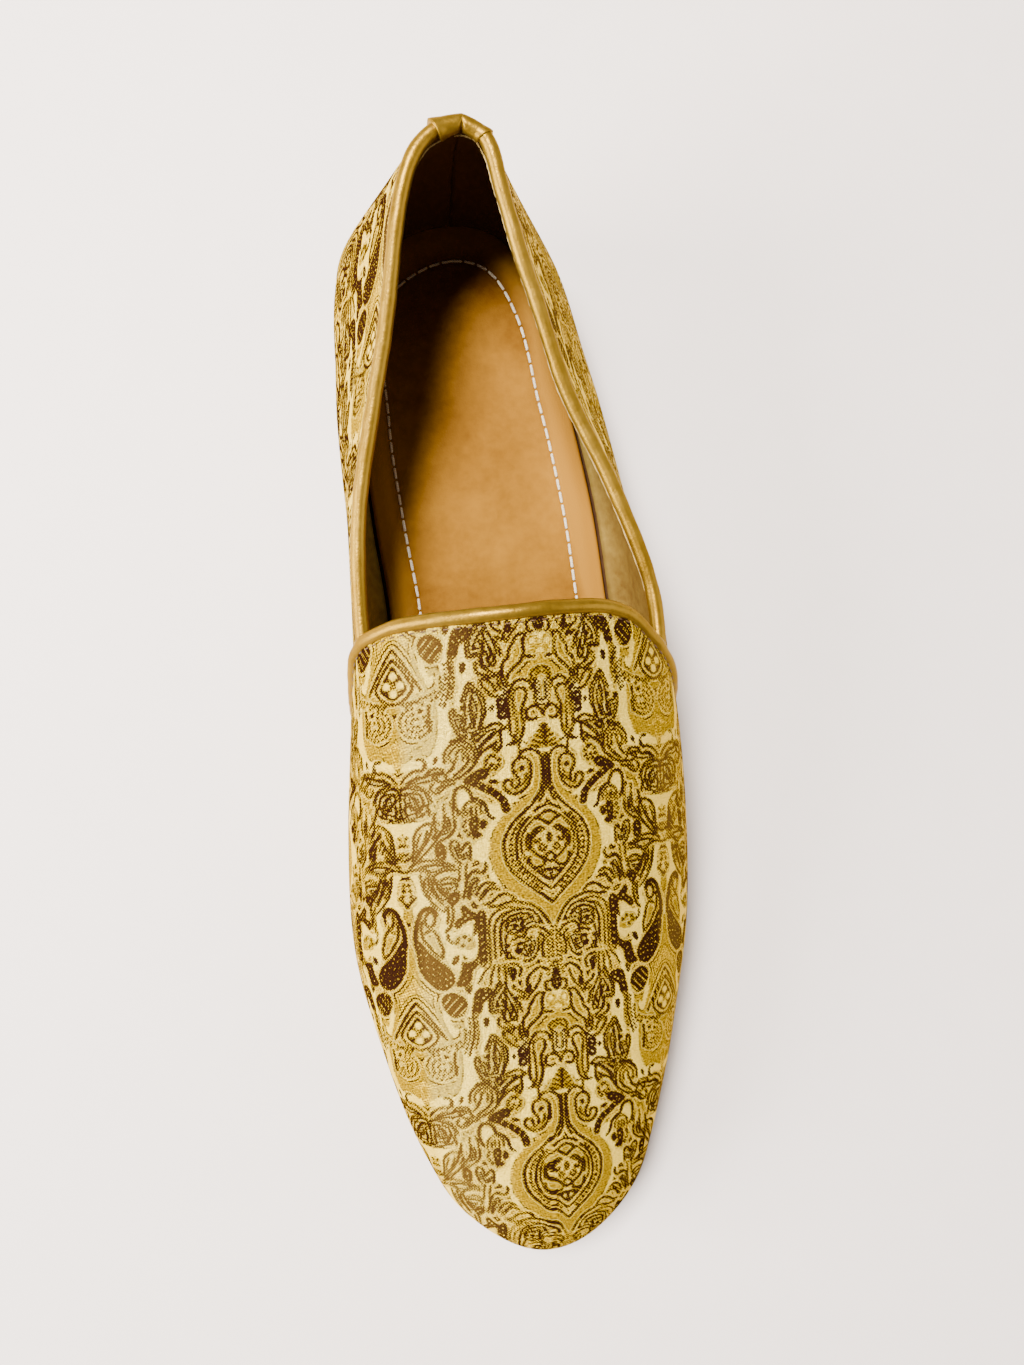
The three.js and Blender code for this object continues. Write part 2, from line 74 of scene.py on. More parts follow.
SECTIONS = table(
    "at centre medial lateral top_medial top_lateral belly top crest full lean tuck",
    [
        [0.00, -0.009, 0.330, 0.320, 0.145, 0.085, 0.385, 1.040, 1.260, 0.55, 0.60, 2.5],
        [0.04, -0.013, 0.290, 0.235, 0.150, 0.099, 0.385, 1.013, 1.260, 0.50, 0.60, 3.0],
        [0.09, -0.016, 0.356, 0.311, 0.192, 0.134, 0.384, 0.966, 1.249, 0.45, 0.60, 4.0],
        [0.15, -0.017, 0.374, 0.353, 0.231, 0.186, 0.383, 0.897, 1.226, 0.40, 0.55, 4.8],
        [0.21, -0.016, 0.388, 0.392, 0.282, 0.236, 0.377, 0.829, 1.192, 0.40, 0.50, 5.2],
        [0.30, -0.007, 0.396, 0.427, 0.359, 0.339, 0.370, 0.760, 1.097, 0.50, 0.45, 5.6],
        [0.40, 0.006, 0.402, 0.444, 0.399, 0.414, 0.363, 0.719, 1.007, 0.65, 0.50, 6.0],
        [0.50, 0.013, 0.460, 0.472, 0.395, 0.395, 0.349, 0.726, 0.930, 0.75, 0.80, 6.0],
        [0.60, 0.011, 0.499, 0.482, 0.390, 0.375, 0.336, 0.671, 0.855, 0.80, 1.00, 5.8],
        [0.70, 0.004, 0.504, 0.471, 0.379, 0.343, 0.308, 0.596, 0.777, 0.80, 1.00, 5.5],
        [0.80, -0.002, 0.443, 0.408, 0.326, 0.300, 0.281, 0.518, 0.697, 0.80, 1.00, 5.2],
        [0.90, -0.011, 0.342, 0.323, 0.243, 0.237, 0.253, 0.445, 0.620, 0.80, 1.00, 4.6],
        [0.96, -0.017, 0.228, 0.235, 0.156, 0.160, 0.233, 0.403, 0.580, 0.80, 1.00, 4.0],
        [1.00, -0.019, 0.165, 0.210, 0.150, 0.156, 0.219, 0.380, 0.556, 0.80, 1.00, 3.5],
    ],
)
# The vamp's edge, from the sole up each side to the crest: its place along Y at each level.
VAMP_EDGE = table(
    "level medial lateral",
    [
        [-1.00, 4.0, -1.5], [-0.50, 5.2, -0.8], [0.00, 7.2, 0.4], [0.35, 10.8, 2.6],
        [0.60, 15.5, 6.0], [0.80, 19.9, 10.3], [1.00, 22.8, 14.2], [1.20, 24.4, 18.4],
        [1.35, 25.5, 22.8], [1.50, 25.7, 25.0], [1.75, 25.4, 25.6], [2.00, 25.3, 25.3],
    ],
)


# %% Curves through a table
def smoothstep(value, low=0.0, high=1.0):
    """0 below low, 1 above high, and 3t^2 - 2t^3 between them."""
    t = np.clip((np.asarray(value, float) - low) / (high - low), 0, 1)
    return t * t * (3 - 2 * t)


def mix(a, b, share):
    """The value that lies a share of the way from a to b."""
    return a + (b - a) * share


def hermite(a, b, leave, arrive, t):
    """The cubic from a to b that leaves a along leave and reaches b along arrive."""
    ends = a * (1 + 2 * t) * (1 - t) ** 2 + b * t * t * (3 - 2 * t)
    return ends + leave * t * (1 - t) ** 2 + arrive * t * t * (t - 1)


def curve(x, y):
    """A smooth function through the points x, y: cubics whose slopes come from the neighbours."""
    step, rise = np.diff(x), np.diff(y) / np.diff(x)
    slope = np.zeros_like(y)
    slope[1:-1] = (rise[:-1] * step[1:] + rise[1:] * step[:-1]) / (step[1:] + step[:-1])
    slope[0] = (3 * rise[0] - slope[1]) / 2
    slope[-1] = (3 * rise[-1] - slope[-2]) / 2

    def value(at):
        at = np.clip(at, x[0], x[-1])
        i = np.clip(np.searchsorted(x, at, side="right") - 1, 0, len(x) - 2)
        return hermite(y[i], y[i + 1], slope[i] * step[i], slope[i + 1] * step[i], (at - x[i]) / step[i])

    return value


def share_curve(field, size=1.0):
    """A column of the sections as a smooth function of the share along the shoe."""
    return curve(SECTIONS["at"], SECTIONS[field] * size)


def rounded_width(field, span):
    """A half width over that of a circle, so that the ends stay round: the end rows are radii."""
    at, width = SECTIONS["at"], SECTIONS[field] * BALL_WIDTH
    shares = np.sqrt(width * span / 2)
    shares[1:-1] = width[1:-1] / np.sqrt(4 * at[1:-1] * (1 - at[1:-1]))
    return curve(at, shares)


centre_at = share_curve("centre", BALL_WIDTH)
belly_at, top_at, crest_at = (share_curve(field, INSTEP_HEIGHT) for field in ("belly", "top", "crest"))
full_at, lean_at, tuck_at = (share_curve(field) for field in ("full", "lean", "tuck"))


def outline(medial, lateral, ends):
    """One line around the last from above: y runs as a cosine, x is the centre plus width times sine."""
    span = ends[0] - ends[1]
    inner, outer = rounded_width(medial, span), rounded_width(lateral, span)

    def line(turn):
        at = (1 - np.cos(turn)) / 2
        y = mix(ends[0], ends[1], at)
        width = np.where(np.sin(turn) < 0, inner(at), outer(at))
        return centre_at(0.5 - y / LENGTH) + width * np.sin(turn), y

    return line


widest_line = outline("medial", "lateral", WIDEST_ENDS)
top_line = outline("top_medial", "top_lateral", TOP_LINE_ENDS)


# %% The last itself
SHARE_STEP, TURN_STEP, HALVINGS, TINY = 0.001, 0.002, 32, 1e-12
CREST_LEVEL = 1.99


def sole_height(y):
    """The sole's lower face: level at the ball and the heel seat, and a parabola up to the toe."""
    toe = np.clip((BALL_FRONT - y) / (BALL_FRONT + LENGTH / 2), 0, None)
    return HEEL_HEIGHT * smoothstep(y, BALL_BACK, SEAT_FRONT) + TOE_SPRING * toe**2


def crest_point(turn):
    """The point of the crest that a turn climbs to, and the crest's slope along Y there."""
    at = (1 - np.cos(turn)) / 2
    y = mix(*CREST_ENDS, at)
    low, high = np.clip(at - SHARE_STEP, 0, 1), np.clip(at + SHARE_STEP, 0, 1)
    slope = (crest_at(high) - crest_at(low)) / ((high - low) * (CREST_ENDS[1] - CREST_ENDS[0]))
    return np.stack([centre_at(0.5 - y / LENGTH), y, crest_at(at)], -1), slope


def inwards(turn):
    """The level direction from the widest line towards the crest."""
    x, y = widest_line(turn)
    crest, _ = crest_point(turn)
    way = crest[..., :2] - np.stack([x, y], -1)
    return way / np.linalg.norm(way, axis=-1, keepdims=True)


def last(turn, level):
    """The last's surface: a quarter of an ellipse below the widest line, then two cubics, one up to
    the top line and one over to the crest."""
    turn, level = np.broadcast_arrays(np.asarray(turn, float), np.asarray(level, float))
    at = (1 - np.cos(turn)) / 2
    belly = np.stack([*widest_line(turn), belly_at(at)], -1)
    shoulder = np.stack([*top_line(turn), top_at(at)], -1)
    crest, slope = crest_point(turn)
    across = CURVE_OVER_BELLY * (crest - belly)
    across[..., :2] *= lean_at(at)[..., None]
    upright = np.zeros_like(belly)
    upright[..., 2] = full_at(at) * (shoulder[..., 2] - belly[..., 2])
    over = CURVE_OVER_SHOULDER * (crest - shoulder)
    over[..., 2] = over[..., 1] * slope
    wall = hermite(belly, shoulder, upright, across, np.clip(level, 0, 1)[..., None])
    crown = hermite(shoulder, crest, across, over, np.clip(level - 1, 0, 1)[..., None])
    angle = np.clip(-level, 0, 1) * TUCK_TURN
    way, tuck = inwards(turn), tuck_at(at)
    bed = SOLE_THICKNESS + sole_height(belly[..., 1] + way[..., 1] * tuck)
    low = belly.copy()
    low[..., :2] += way * (tuck * (1 - np.cos(angle)) / (1 - np.cos(TUCK_TURN)))[..., None]
    low[..., 2] -= (belly[..., 2] - bed) * np.sin(angle) / np.sin(TUCK_TURN)
    level = level[..., None]
    return np.where(level < 0, low, np.where(level <= 1, wall, crown))


def unit(vector):
    """Vectors scaled to length one."""
    return vector / np.maximum(np.linalg.norm(vector, axis=-1, keepdims=True), TINY)


# %% Off the last, and back to a place on it
def normal(turn, level):
    """The outward direction: the slope up the wall crossed with the slope around it, and along the
    crest the direction square to the crest's own slope."""
    turn, level = np.broadcast_arrays(np.asarray(turn, float), np.asarray(level, float))
    around = last(turn + TURN_STEP, level) - last(turn - TURN_STEP, level)
    up = last(turn, np.minimum(level + TURN_STEP, 2)) - last(turn, np.maximum(level - TURN_STEP, -1))
    slope = crest_point(turn)[1]
    crest = np.stack([np.zeros_like(slope), -slope, np.ones_like(slope)], -1)
    return np.where(level[..., None] > CREST_LEVEL, unit(crest), unit(np.cross(up, around)))


def off_last(turn, level, distance):
    """The last moved out along its normals by one distance or by a distance for each place."""
    return last(turn, level) + normal(turn, level) * np.asarray(distance, float)[..., None]


def turn_at(level, y, side):
    """The turn where a level passes a place along Y, on side 1 (outer) or -1 (inner), by halving."""
    level, y = np.broadcast_arrays(np.asarray(level, float), np.asarray(y, float))
    back, toe = np.zeros(level.shape), np.full(level.shape, np.pi)
    for _ in range(HALVINGS):
        middle = (back + toe) / 2
        behind = last(side * middle, level)[..., 1] > y
        back, toe = np.where(behind, middle, back), np.where(behind, toe, middle)
    return side * (back + toe) / 2


edge_medial = curve(VAMP_EDGE["level"], VAMP_EDGE["medial"])
edge_lateral = curve(VAMP_EDGE["level"], VAMP_EDGE["lateral"])
throat_height = last(turn_at(2, edge_medial(2.0), -1), 2)[2]
print(f"the throat's crest lies {throat_height:.1f} mm above the floor")

# %% [markdown]
# ## From grids of points to pieces
# Three small builders serve the whole shoe. A shell is a wall between an outer and an inner grid. A
# sweep is a closed section carried along a path. A stack is a pile of rings whose first and last
# ring have closed to a line. Each works out an array of points and the faces between them.

# %% A piece, and how it fits the shoe
def piece(name, points, faces, material):
    """An object at the origin from points in millimetres and faces. The faces look outwards when
    the volume, the sum of a . (b x c) / 6 over the triangles, is positive: else they are flipped."""
    mesh = bpy.data.meshes.new(name)
    mesh.from_pydata((np.asarray(points) * MM).tolist(), [], faces)
    mesh.polygons.foreach_set("use_smooth", np.ones(len(mesh.polygons), bool))
    mesh.calc_loop_triangles()
    corners = np.zeros(3 * len(mesh.loop_triangles), int)
    mesh.loop_triangles.foreach_get("vertices", corners)
    a, b, c = np.asarray(points)[corners.reshape(-1, 3).T]
    volume = np.einsum("ij,ij->", a, np.cross(b, c)) / 6
    if volume < 0:
        mesh.flip_normals()
    mesh.materials.append(material)
    thing = bpy.data.objects.new(name, mesh)
    bpy.context.scene.collection.objects.link(thing)
    print(f"{name}: {len(mesh.loop_triangles)} triangles, {abs(volume) / 1000:.2f} cm3")
    return thing


def fit(thing, slot, *nodes):
    """The piece rides with the shoe and stands for the nodes given; the slot is not used."""
    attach(thing, BODY)
    if nodes:
        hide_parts(*nodes)


# %% Faces between numbered points
def quads(a, b, c, d):
    """Faces from four arrays of corner numbers."""
    return np.stack([a, b, c, d], -1).reshape(-1, 4).tolist()


def runs(line, other, step):
    """Faces that join a fine line of points to a coarse one with a point every step."""
    line, other = line.tolist(), other.tolist()
    return [
        [*line[i * step:(i + 1) * step + 1], other[i + 1], other[i]] for i in range(len(other) - 1)
    ]


def single(face):
    """A face with no point named twice."""
    return list(dict.fromkeys(face))


def compact(points, faces):
    """The points that faces use, the faces with their new numbers, and the old numbers."""
    used = np.unique(np.concatenate(faces))
    renumber = np.zeros(len(points), int)
    renumber[used] = np.arange(len(used))
    return points[used], [single(renumber[face].tolist()) for face in faces], used


# %% Shells, sweeps and stacks
def shell(outer, inner, step=1, folded=False):
    """A wall: the outer grid (rows up the wall, columns along it), the inner grid with a point at
    every step, and rims between them. Folded, the top row closes on its own mirror image."""
    rows, columns = outer.shape[:2]
    inner_rows, inner_columns = inner.shape[:2]
    number = np.arange(rows * columns).reshape(rows, columns)
    inside = rows * columns + np.arange(inner_rows * inner_columns).reshape(inner_rows, inner_columns)
    if folded:
        for grid in (number, inside):
            half = grid.shape[1] // 2
            grid[-1, half + 1:] = grid[-1, :half][::-1]
    faces = quads(number[:-1, :-1], number[:-1, 1:], number[1:, 1:], number[1:, :-1])
    faces += quads(inside[:-1, :-1], inside[1:, :-1], inside[1:, 1:], inside[:-1, 1:])
    faces += runs(number[0, ::-1], inside[0, ::-1], step)
    faces += runs(number[:, 0], inside[:, 0], step)
    faces += runs(number[::-1, -1], inside[::-1, -1], step)
    if not folded:
        faces += runs(number[-1], inside[-1], step)
    return compact(np.concatenate([outer.reshape(-1, 3), inner.reshape(-1, 3)]), faces)


def tube(sections):
    """Closed sections along a path (path, section, xyz), with a point in the middle of each end."""
    count, sides = sections.shape[:2]
    number = np.arange(count * sides).reshape(count, sides)
    following = np.roll(number, -1, axis=1)
    faces = quads(number[:-1], following[:-1], following[1:], number[1:])
    ends = count * sides, count * sides + 1
    faces += [[ends[0], b, a] for a, b in zip(number[0].tolist(), following[0].tolist())]
    faces += [[ends[1], a, b] for a, b in zip(number[-1].tolist(), following[-1].tolist())]
    points = np.concatenate([sections.reshape(-1, 3), sections[[0, -1]].mean(axis=1)])
    return points, faces


def stack(rings):
    """Rings from the bottom up (ring, turn, xyz); the first and last have closed to a middle line,
    where a turn and its mirror image are one point."""
    count, sides = rings.shape[:2]
    number = np.arange(count * sides).reshape(count, sides)
    mirror = (-np.arange(sides)) % sides
    for row in (0, -1):
        number[row] = np.minimum(number[row], number[row][mirror])
    following = np.roll(number, -1, axis=1)
    faces = map(single, quads(number[:-1], number[1:], following[1:], following[:-1]))
    return compact(rings.reshape(-1, 3), [face for face in faces if len(face) > 2])


# %% Numbers that a piece keeps for its material
def attribute(thing, name, values):
    """Keeps a number for each point of a piece, for its material to read."""
    thing.data.attributes.new(name, "FLOAT", "POINT").data.foreach_set(
        "value", np.ascontiguousarray(values, np.float32)
    )


def cloth_map(thing, along, across):
    """Keeps each point's place on the flat cloth in a UV map, in centimetres."""
    loops = np.zeros(len(thing.data.loops), int)
    thing.data.loops.foreach_get("vertex_index", loops)
    places = np.stack([across[loops], along[loops]], -1) / 10
    thing.data.uv_layers.new(name="cloth").data.foreach_set("uv", places.astype(np.float32).ravel())


# %% [markdown]
# ## A little language for materials
# Node trees are hard to read as lists of links. One small class wraps a socket and lets Python's
# operators add the Math nodes, so that a mask is written the way it is thought. A Finish holds one
# material and adds any other node by its type, settings and inputs.

# %% Sockets as numbers
NOISE_ROUGHNESS = 0.55


class Value:
    """A socket that holds a number or a colour; operators on a number add Math nodes."""

    def __init__(self, finish, socket):
        self.finish, self.socket = finish, socket

    def math(self, operation, *inputs, clamp=False):
        settings = {"operation": operation, "use_clamp": clamp}
        return self.finish.node("ShaderNodeMath", settings, dict(enumerate(inputs)))

    def __add__(self, other):
        return self.math("ADD", self, other)

    def __sub__(self, other):
        return self.math("SUBTRACT", self, other)

    def __rsub__(self, other):
        return self.math("SUBTRACT", other, self)

    def __mul__(self, other):
        return self.math("MULTIPLY", self, other)

    def __truediv__(self, other):
        return self.math("DIVIDE", self, other)

    def sine(self):
        return self.math("SINE", self)

    def absolute(self):
        return self.math("ABSOLUTE", self)

    def fraction(self):
        return self.math("FRACT", self)

    def larger(self, other):
        return self.math("MAXIMUM", self, other)

    def smaller(self, other):
        return self.math("MINIMUM", self, other)

    def clamped(self):
        return self.math("ADD", self, 0.0, clamp=True)

    def inside(self, soft):
        """1 where the value is below zero, falling to 0 over a soft width."""
        return (0.5 - self / soft).clamped()

    __radd__ = __add__
    __rmul__ = __mul__


# %% One material and its nodes
class Finish:
    """One material: a Principled BSDF and the nodes that feed it."""

    def __init__(self, name):
        self.material = bpy.data.materials.new(name)
        self.material.use_nodes = True
        self.tree = self.material.node_tree
        self.shader = self.tree.nodes["Principled BSDF"]

    def node(self, kind, settings, inputs, output=0):
        """A node of that kind: settings first, then its inputs by place or by name."""
        new = self.tree.nodes.new(kind)
        for key, setting in settings.items():
            setattr(new, key, setting)
        for key, given in inputs.items():
            self.connect(new.inputs[key], given)
        return Value(self, new.outputs[output])

    def connect(self, socket, given):
        """Links a value to a socket, or sets the socket to a number or a colour."""
        if isinstance(given, Value):
            self.tree.links.new(given.socket, socket)
        elif socket.type == "RGBA":
            socket.default_value = (*given, 1)
        else:
            socket.default_value = given

    def set(self, **inputs):
        """Gives the shader's own inputs, with _ for each space in a name."""
        for name, given in inputs.items():
            self.connect(self.shader.inputs[name.replace("_", " ")], given)

    def read(self, name):
        """A piece's own attribute."""
        return self.node("ShaderNodeAttribute", {"attribute_name": name}, {}, "Fac")

    def place(self):
        """The point's own place, in metres."""
        return self.node("ShaderNodeTexCoord", {}, {}, "Object")

    def cloth(self):
        """The place on the flat cloth, in centimetres."""
        return self.node("ShaderNodeUVMap", {"uv_map": "cloth"}, {})

    def parts(self, vector):
        """A vector's x, y and z."""
        node = self.tree.nodes.new("ShaderNodeSeparateXYZ")
        self.connect(node.inputs[0], vector)
        return [Value(self, socket) for socket in node.outputs]

    def stretched(self, vector, scale):
        """A place scaled by its own number along each axis."""
        return self.node("ShaderNodeMapping", {}, {"Vector": vector, "Scale": scale})

    def noise(self, vector, scale, detail):
        """Cloudy noise from 0 to 1."""
        return self.node("ShaderNodeTexNoise", {}, {
            "Vector": vector, "Scale": scale, "Detail": detail, "Roughness": NOISE_ROUGHNESS,
        })

    def cells(self, vector, scale):
        """The distance to the edge of random cells, as between pebbles."""
        return self.node(
            "ShaderNodeTexVoronoi", {"feature": "DISTANCE_TO_EDGE"}, {"Vector": vector, "Scale": scale}
        )

    def blend(self, share, first, second):
        """Two colours mixed by a share."""
        node = self.tree.nodes.new("ShaderNodeMix")
        node.data_type = "RGBA"
        for socket, given in zip((node.inputs[0], node.inputs[6], node.inputs[7]), (share, first, second)):
            self.connect(socket, given)
        return Value(self, node.outputs[2])

    def bump(self, height, depth, strength=1.0):
        """The normal of a relief so many metres deep."""
        return self.node(
            "ShaderNodeBump", {}, {"Height": height, "Distance": depth, "Strength": strength}
        )

# %% [markdown]
# ## The finishes
# Five leathers, two threads and the brocade. Leather is a colour with slow clouds, a fine grain in
# the bump, and a gloss that changes a little from place to place. It could be one flat colour with
# a coat over it, but then it looks like plastic. The bindings are foiled leather: part metal, so
# that they take warm light from one side and brown shade from the other.

# %% Leathers
CLOUDS, FINE_GRAIN, WRINKLES = 38.0, 420.0, 900.0
GLOSS, GLOSS_TINT, GLOSS_CHANGE = 0.04, (0.95, 0.78, 0.45), 0.22
FINE_SHARE, TONE_LIFT = 0.5, 0.12
PRESSED_INSET, SHADE_START = 10.5, 0.085


def leather(name, dark, light, roughness, pebbles, depth, metallic=0.0, mottle=1.3, wrinkle=0.0,
            clouds=CLOUDS, adjust=None):
    """Two tones in soft clouds, pebble grain, and small wrinkles where the leather is rolled."""
    finish = Finish(name)
    place = finish.place()
    cloudy = finish.noise(place, clouds, 4.0)
    fine = finish.noise(place, FINE_GRAIN, 3.0)
    share = (cloudy - 0.5) * mottle + fine * FINE_SHARE + TONE_LIFT
    if adjust:
        share = adjust(finish, share)
    relief = finish.cells(place, pebbles).smaller(0.35) * 0.8 + fine * 0.5
    if wrinkle:
        relief = relief + finish.noise(place, WRINKLES, 2.0) * wrinkle
    finish.set(
        Base_Color=finish.blend(share.clamped(), dark, light),
        Roughness=(roughness + (fine - 0.5) * GLOSS_CHANGE).clamped(),
        Metallic=metallic,
        Specular_IOR_Level=GLOSS,
        Specular_Tint=GLOSS_TINT,
        Normal=finish.bump(relief, depth),
    )
    return finish.material


def handled(finish, share):
    """The insole keeps its first, lighter colour near its edge, where no foot has pressed it."""
    return share + ((PRESSED_INSET - finish.read("inset")) * 0.25).clamped() * 0.85


def painted_heel_shade(finish, share):
    """Painted shade: the lining darkens towards the heel, standing in for the shade deep inside the shoe.
    """
    _, y, _ = finish.parts(finish.place())
    return share - ((y - SHADE_START) * 30.0).clamped() * 0.7


gold_leather = leather(
    "gold_leather", (0.15, 0.078, 0.004), (0.32, 0.195, 0.024), 0.38, 900.0, 0.00008,
    metallic=0.7, wrinkle=0.2,
)
lining_leather = leather(
    "lining_leather", (0.12, 0.06, 0.012), (0.42, 0.29, 0.06), 0.55, 1100.0, 0.0001,
    metallic=0.15, adjust=painted_heel_shade,
)
insole_leather = leather(
    "insole_leather", (0.11, 0.038, 0.002), (0.33, 0.148, 0.014), 0.6, 1300.0, 0.00006,
    mottle=3.0, clouds=15.0, adjust=handled,
)
sole_leather = leather("sole_leather", (0.045, 0.02, 0.009), (0.10, 0.048, 0.022), 0.55, 700.0, 0.0001)
raw_edge = leather("raw_edge", (0.36, 0.24, 0.08), (0.58, 0.42, 0.17), 0.75, 1500.0, 0.0001)

# %% Threads
TWIST_STEP, TWIST_SHADE, TWIST_DEPTH = 9000.0, 0.6, 0.00008


def thread(name, colour):
    """Spun thread: a twist of fine diagonal ridges in one colour, a sine of x + y + z."""
    finish = Finish(name)
    x, y, z = finish.parts(finish.place())
    twist = ((x + y + z) * TWIST_STEP).sine() * 0.5 + 0.5
    shade = tuple(channel * TWIST_SHADE for channel in colour)
    finish.set(
        Base_Color=finish.blend(twist, shade, colour),
        Roughness=0.5,
        Normal=finish.bump(twist, TWIST_DEPTH),
    )
    return finish.material


white_thread = thread("white_thread", (0.95, 0.82, 0.62))
brown_thread = thread("brown_thread", (0.10, 0.045, 0.012))
finishes = gold_leather, lining_leather, insole_leather, sole_leather, raw_edge, white_thread, brown_thread
print("leathers and threads:", ", ".join(finish.name for finish in finishes))

# %% [markdown]
# ## The brocade
# Wedding brocade is a satin ground with figures in extra threads: dark outlines, fields of small
# dots, and areas of mustard gold. The figures repeat along the cloth and are mirrored across it,
# as on the loom's tied harness, so only half a repeat is charted. A picture could hold it, but
# then its sharpness would be fixed and its threads would not catch light. Here each figure is a
# stroke or a filled outline drawn in millimetres, and each point of the cloth keeps its
# distance to the nearest one, which the material turns into ink, dots or gold.

# %% Curves and distances
REPEAT, HALF = 94.0, 32.3
FAR, CURVE_STEPS = 3.0, 5


def run_length(path, axis=0):
    """The length along a path up to each of its points: the running sum of its steps."""
    steps = np.linalg.norm(np.diff(path, axis=axis), axis=-1)
    return np.insert(np.cumsum(steps, axis=axis), 0, 0, axis=axis)


def walk(path, distances):
    """The points of a path at those distances along it."""
    lengths = run_length(path)
    return np.stack([np.interp(distances, lengths, axis) for axis in path.T], -1)


def smooth_path(points, closed=False):
    """A curve through the points of a stroke, at even steps between each two: cubics whose slope
    at a point is half the step from the point before it to the point after it."""
    points = np.array(points, float)
    if len(points) < 3:
        return points
    if closed:
        points = np.concatenate([points[-2:], points, points[:3]])
    else:
        points = np.concatenate([2 * points[:1] - points[1:2], points, 2 * points[-1:] - points[-2:-1]])
    a, b, c, d = points[:-3, None], points[1:-2, None], points[2:-1, None], points[3:, None]
    t = np.linspace(0, 1, CURVE_STEPS + 1)[None, :-1, None]
    path = hermite(b, c, (c - a) / 2, (d - b) / 2, t).reshape(-1, 2)
    return path[CURVE_STEPS:-CURVE_STEPS] if closed else np.concatenate([path, points[-2:-1]])


def distance_to_path(u, v, path):
    """How far points are from a chain of straight pieces: the least of the distances to the near
    end of each piece or to its own foot of the perpendicular."""
    if len(path) == 1:
        return np.hypot(u - path[0, 0], v - path[0, 1])
    nearest = np.full(u.shape, np.inf)
    for (u0, v0), (u1, v1) in zip(path[:-1], path[1:]):
        squared = (u1 - u0) ** 2 + (v1 - v0) ** 2 + TINY
        share = np.clip(((u - u0) * (u1 - u0) + (v - v0) * (v1 - v0)) / squared, 0, 1)
        nearest = np.minimum(nearest, np.hypot(u - u0 - share * (u1 - u0), v - v0 - share * (v1 - v0)))
    return nearest


def signed_distance(u, v, path):
    """The same for a closed outline, negative inside it: each crossing of a ray flips the side."""
    ring = np.concatenate([path, path[:1]])
    inside = np.zeros(u.shape, bool)
    for (u0, v0), (u1, v1) in zip(ring[:-1], ring[1:]):
        crosses = (v0 > v) != (v1 > v)
        inside ^= crosses & (u < u0 + (v - v0) * (u1 - u0) / (v1 - v0 + TINY * (v1 == v0)))
    return distance_to_path(u, v, ring) * np.where(inside, -1, 1)


# %% [markdown]
# The chart is a list of figures. In each text below a line of numbers is one figure, given by the
# points that its curve passes: across and along the cloth, in millimetres. A line that ends with a
# comma goes on in the next one. Across runs from the mirror line at 0 to the next one at 32.3, and
# along runs from the throat towards the toe. Each figure goes into one of four fields: ink for the
# dark threads, stipple for the dotted areas, gold for mustard, and plain for the bare satin. A cut
# takes its shape away from what its field holds so far.

# %% The chart of half a repeat
CHART = []


def figures(text):
    """The points of each figure in a text."""
    rows = text.strip().replace(",\n", ",").splitlines()
    return [np.array([pair.split() for pair in row.split(",")], float) for row in rows]


def add(kind, into, wide, text):
    """Adds each figure of a text: a line or a cut of that half width, or an area."""
    CHART.extend((into, kind, wide, points) for points in figures(text))


def beads(kind, into, wide, pitch, text):
    """Adds dots at a pitch along each path: threads that surface and dive again."""
    for path in map(smooth_path, figures(text)):
        dots = walk(path, np.arange(pitch / 2, run_length(path)[-1] + 0.01, pitch))
        CHART.extend((into, kind, wide, dot[None]) for dot in dots)


# %% The tree, its petals and the temple arch
add("line", "ink", 0.29, """
2.2 -1.4, 3.5 -2.2, 5 -1.4, 6 -.3, 6.6 1.2, 6.6 3
0 1.9, 2.3 2.2, 2.5 3.4, 2.3 4.4, 1.5 4.8
9.8 2, 9.4 3.2, 8 4.2, 7.3 5.6, 7.9 6, 8.9 5.3
2.8 5.3, 3.5 6.6, 3.5 9.6, 4.1 11.4, 5.5 13, 6.7 14.2, 7.2 15.5, 7.3 17.6
3.2 5.1, 4.6 5.3, 5.6 7, 6.5 8.8, 6.7 10.4, 7.8 11.6, 8.2 13.4, 8 15.2
9.7 5.9, 8.8 7, 8.4 8.6, 8.2 9.8
8.9 13.9, 9 15.8, 8.6 17.6, 7.5 18.6
12.3 10.7, 12.1 12, 11.3 12.9, 10.1 13.8, 9.9 14.7
13.5 11, 13.6 12.5, 13 13.6, 11.8 14.1, 10.5 14.9
12.7 15.1, 11.5 15.2, 10.3 16.6, 9.7 18.2
12.8 15.2, 12.5 16.5, 11.6 18, 10.6 19.2, 9 19.7, 7.2 18.9
12.7 .4, 13.9 3, 15 5.2, 15.3 7.4, 15 9.3, 12.7 9.3, 12.4 11.4
1.4 10.9, 2.8 10.6
2.3 18.6, 2.3 17.3, 3.2 16.5, 4.6 16.1, 5.8 16.9, 6.6 18.3, 7.1 19.8, 7.2 24, 7.2 29, 6.4 30.2
5 18.1, 4 18.3, 3.4 19.4, 3.6 21, 4.2 22.4, 4.5 24.5, 4.2 27, 4.6 29.4, 5.3 30.9, 6.7 31.8, 8 31.9
0 25.4, .4 24, 1.4 23, 2.6 23, 3.5 24, 3.5 25.4, 2.6 26.3, 1.5 25.9
.5 35, .45 38, .45 43, 1 45.4, 1.8 47
5.6 35.2, 4.9 34, 3.4 33.5, 2.1 34, 1.1 35.3, .8 38, .9 42, 1.4 44.2, 2.4 46, 3.6 47.9
""")
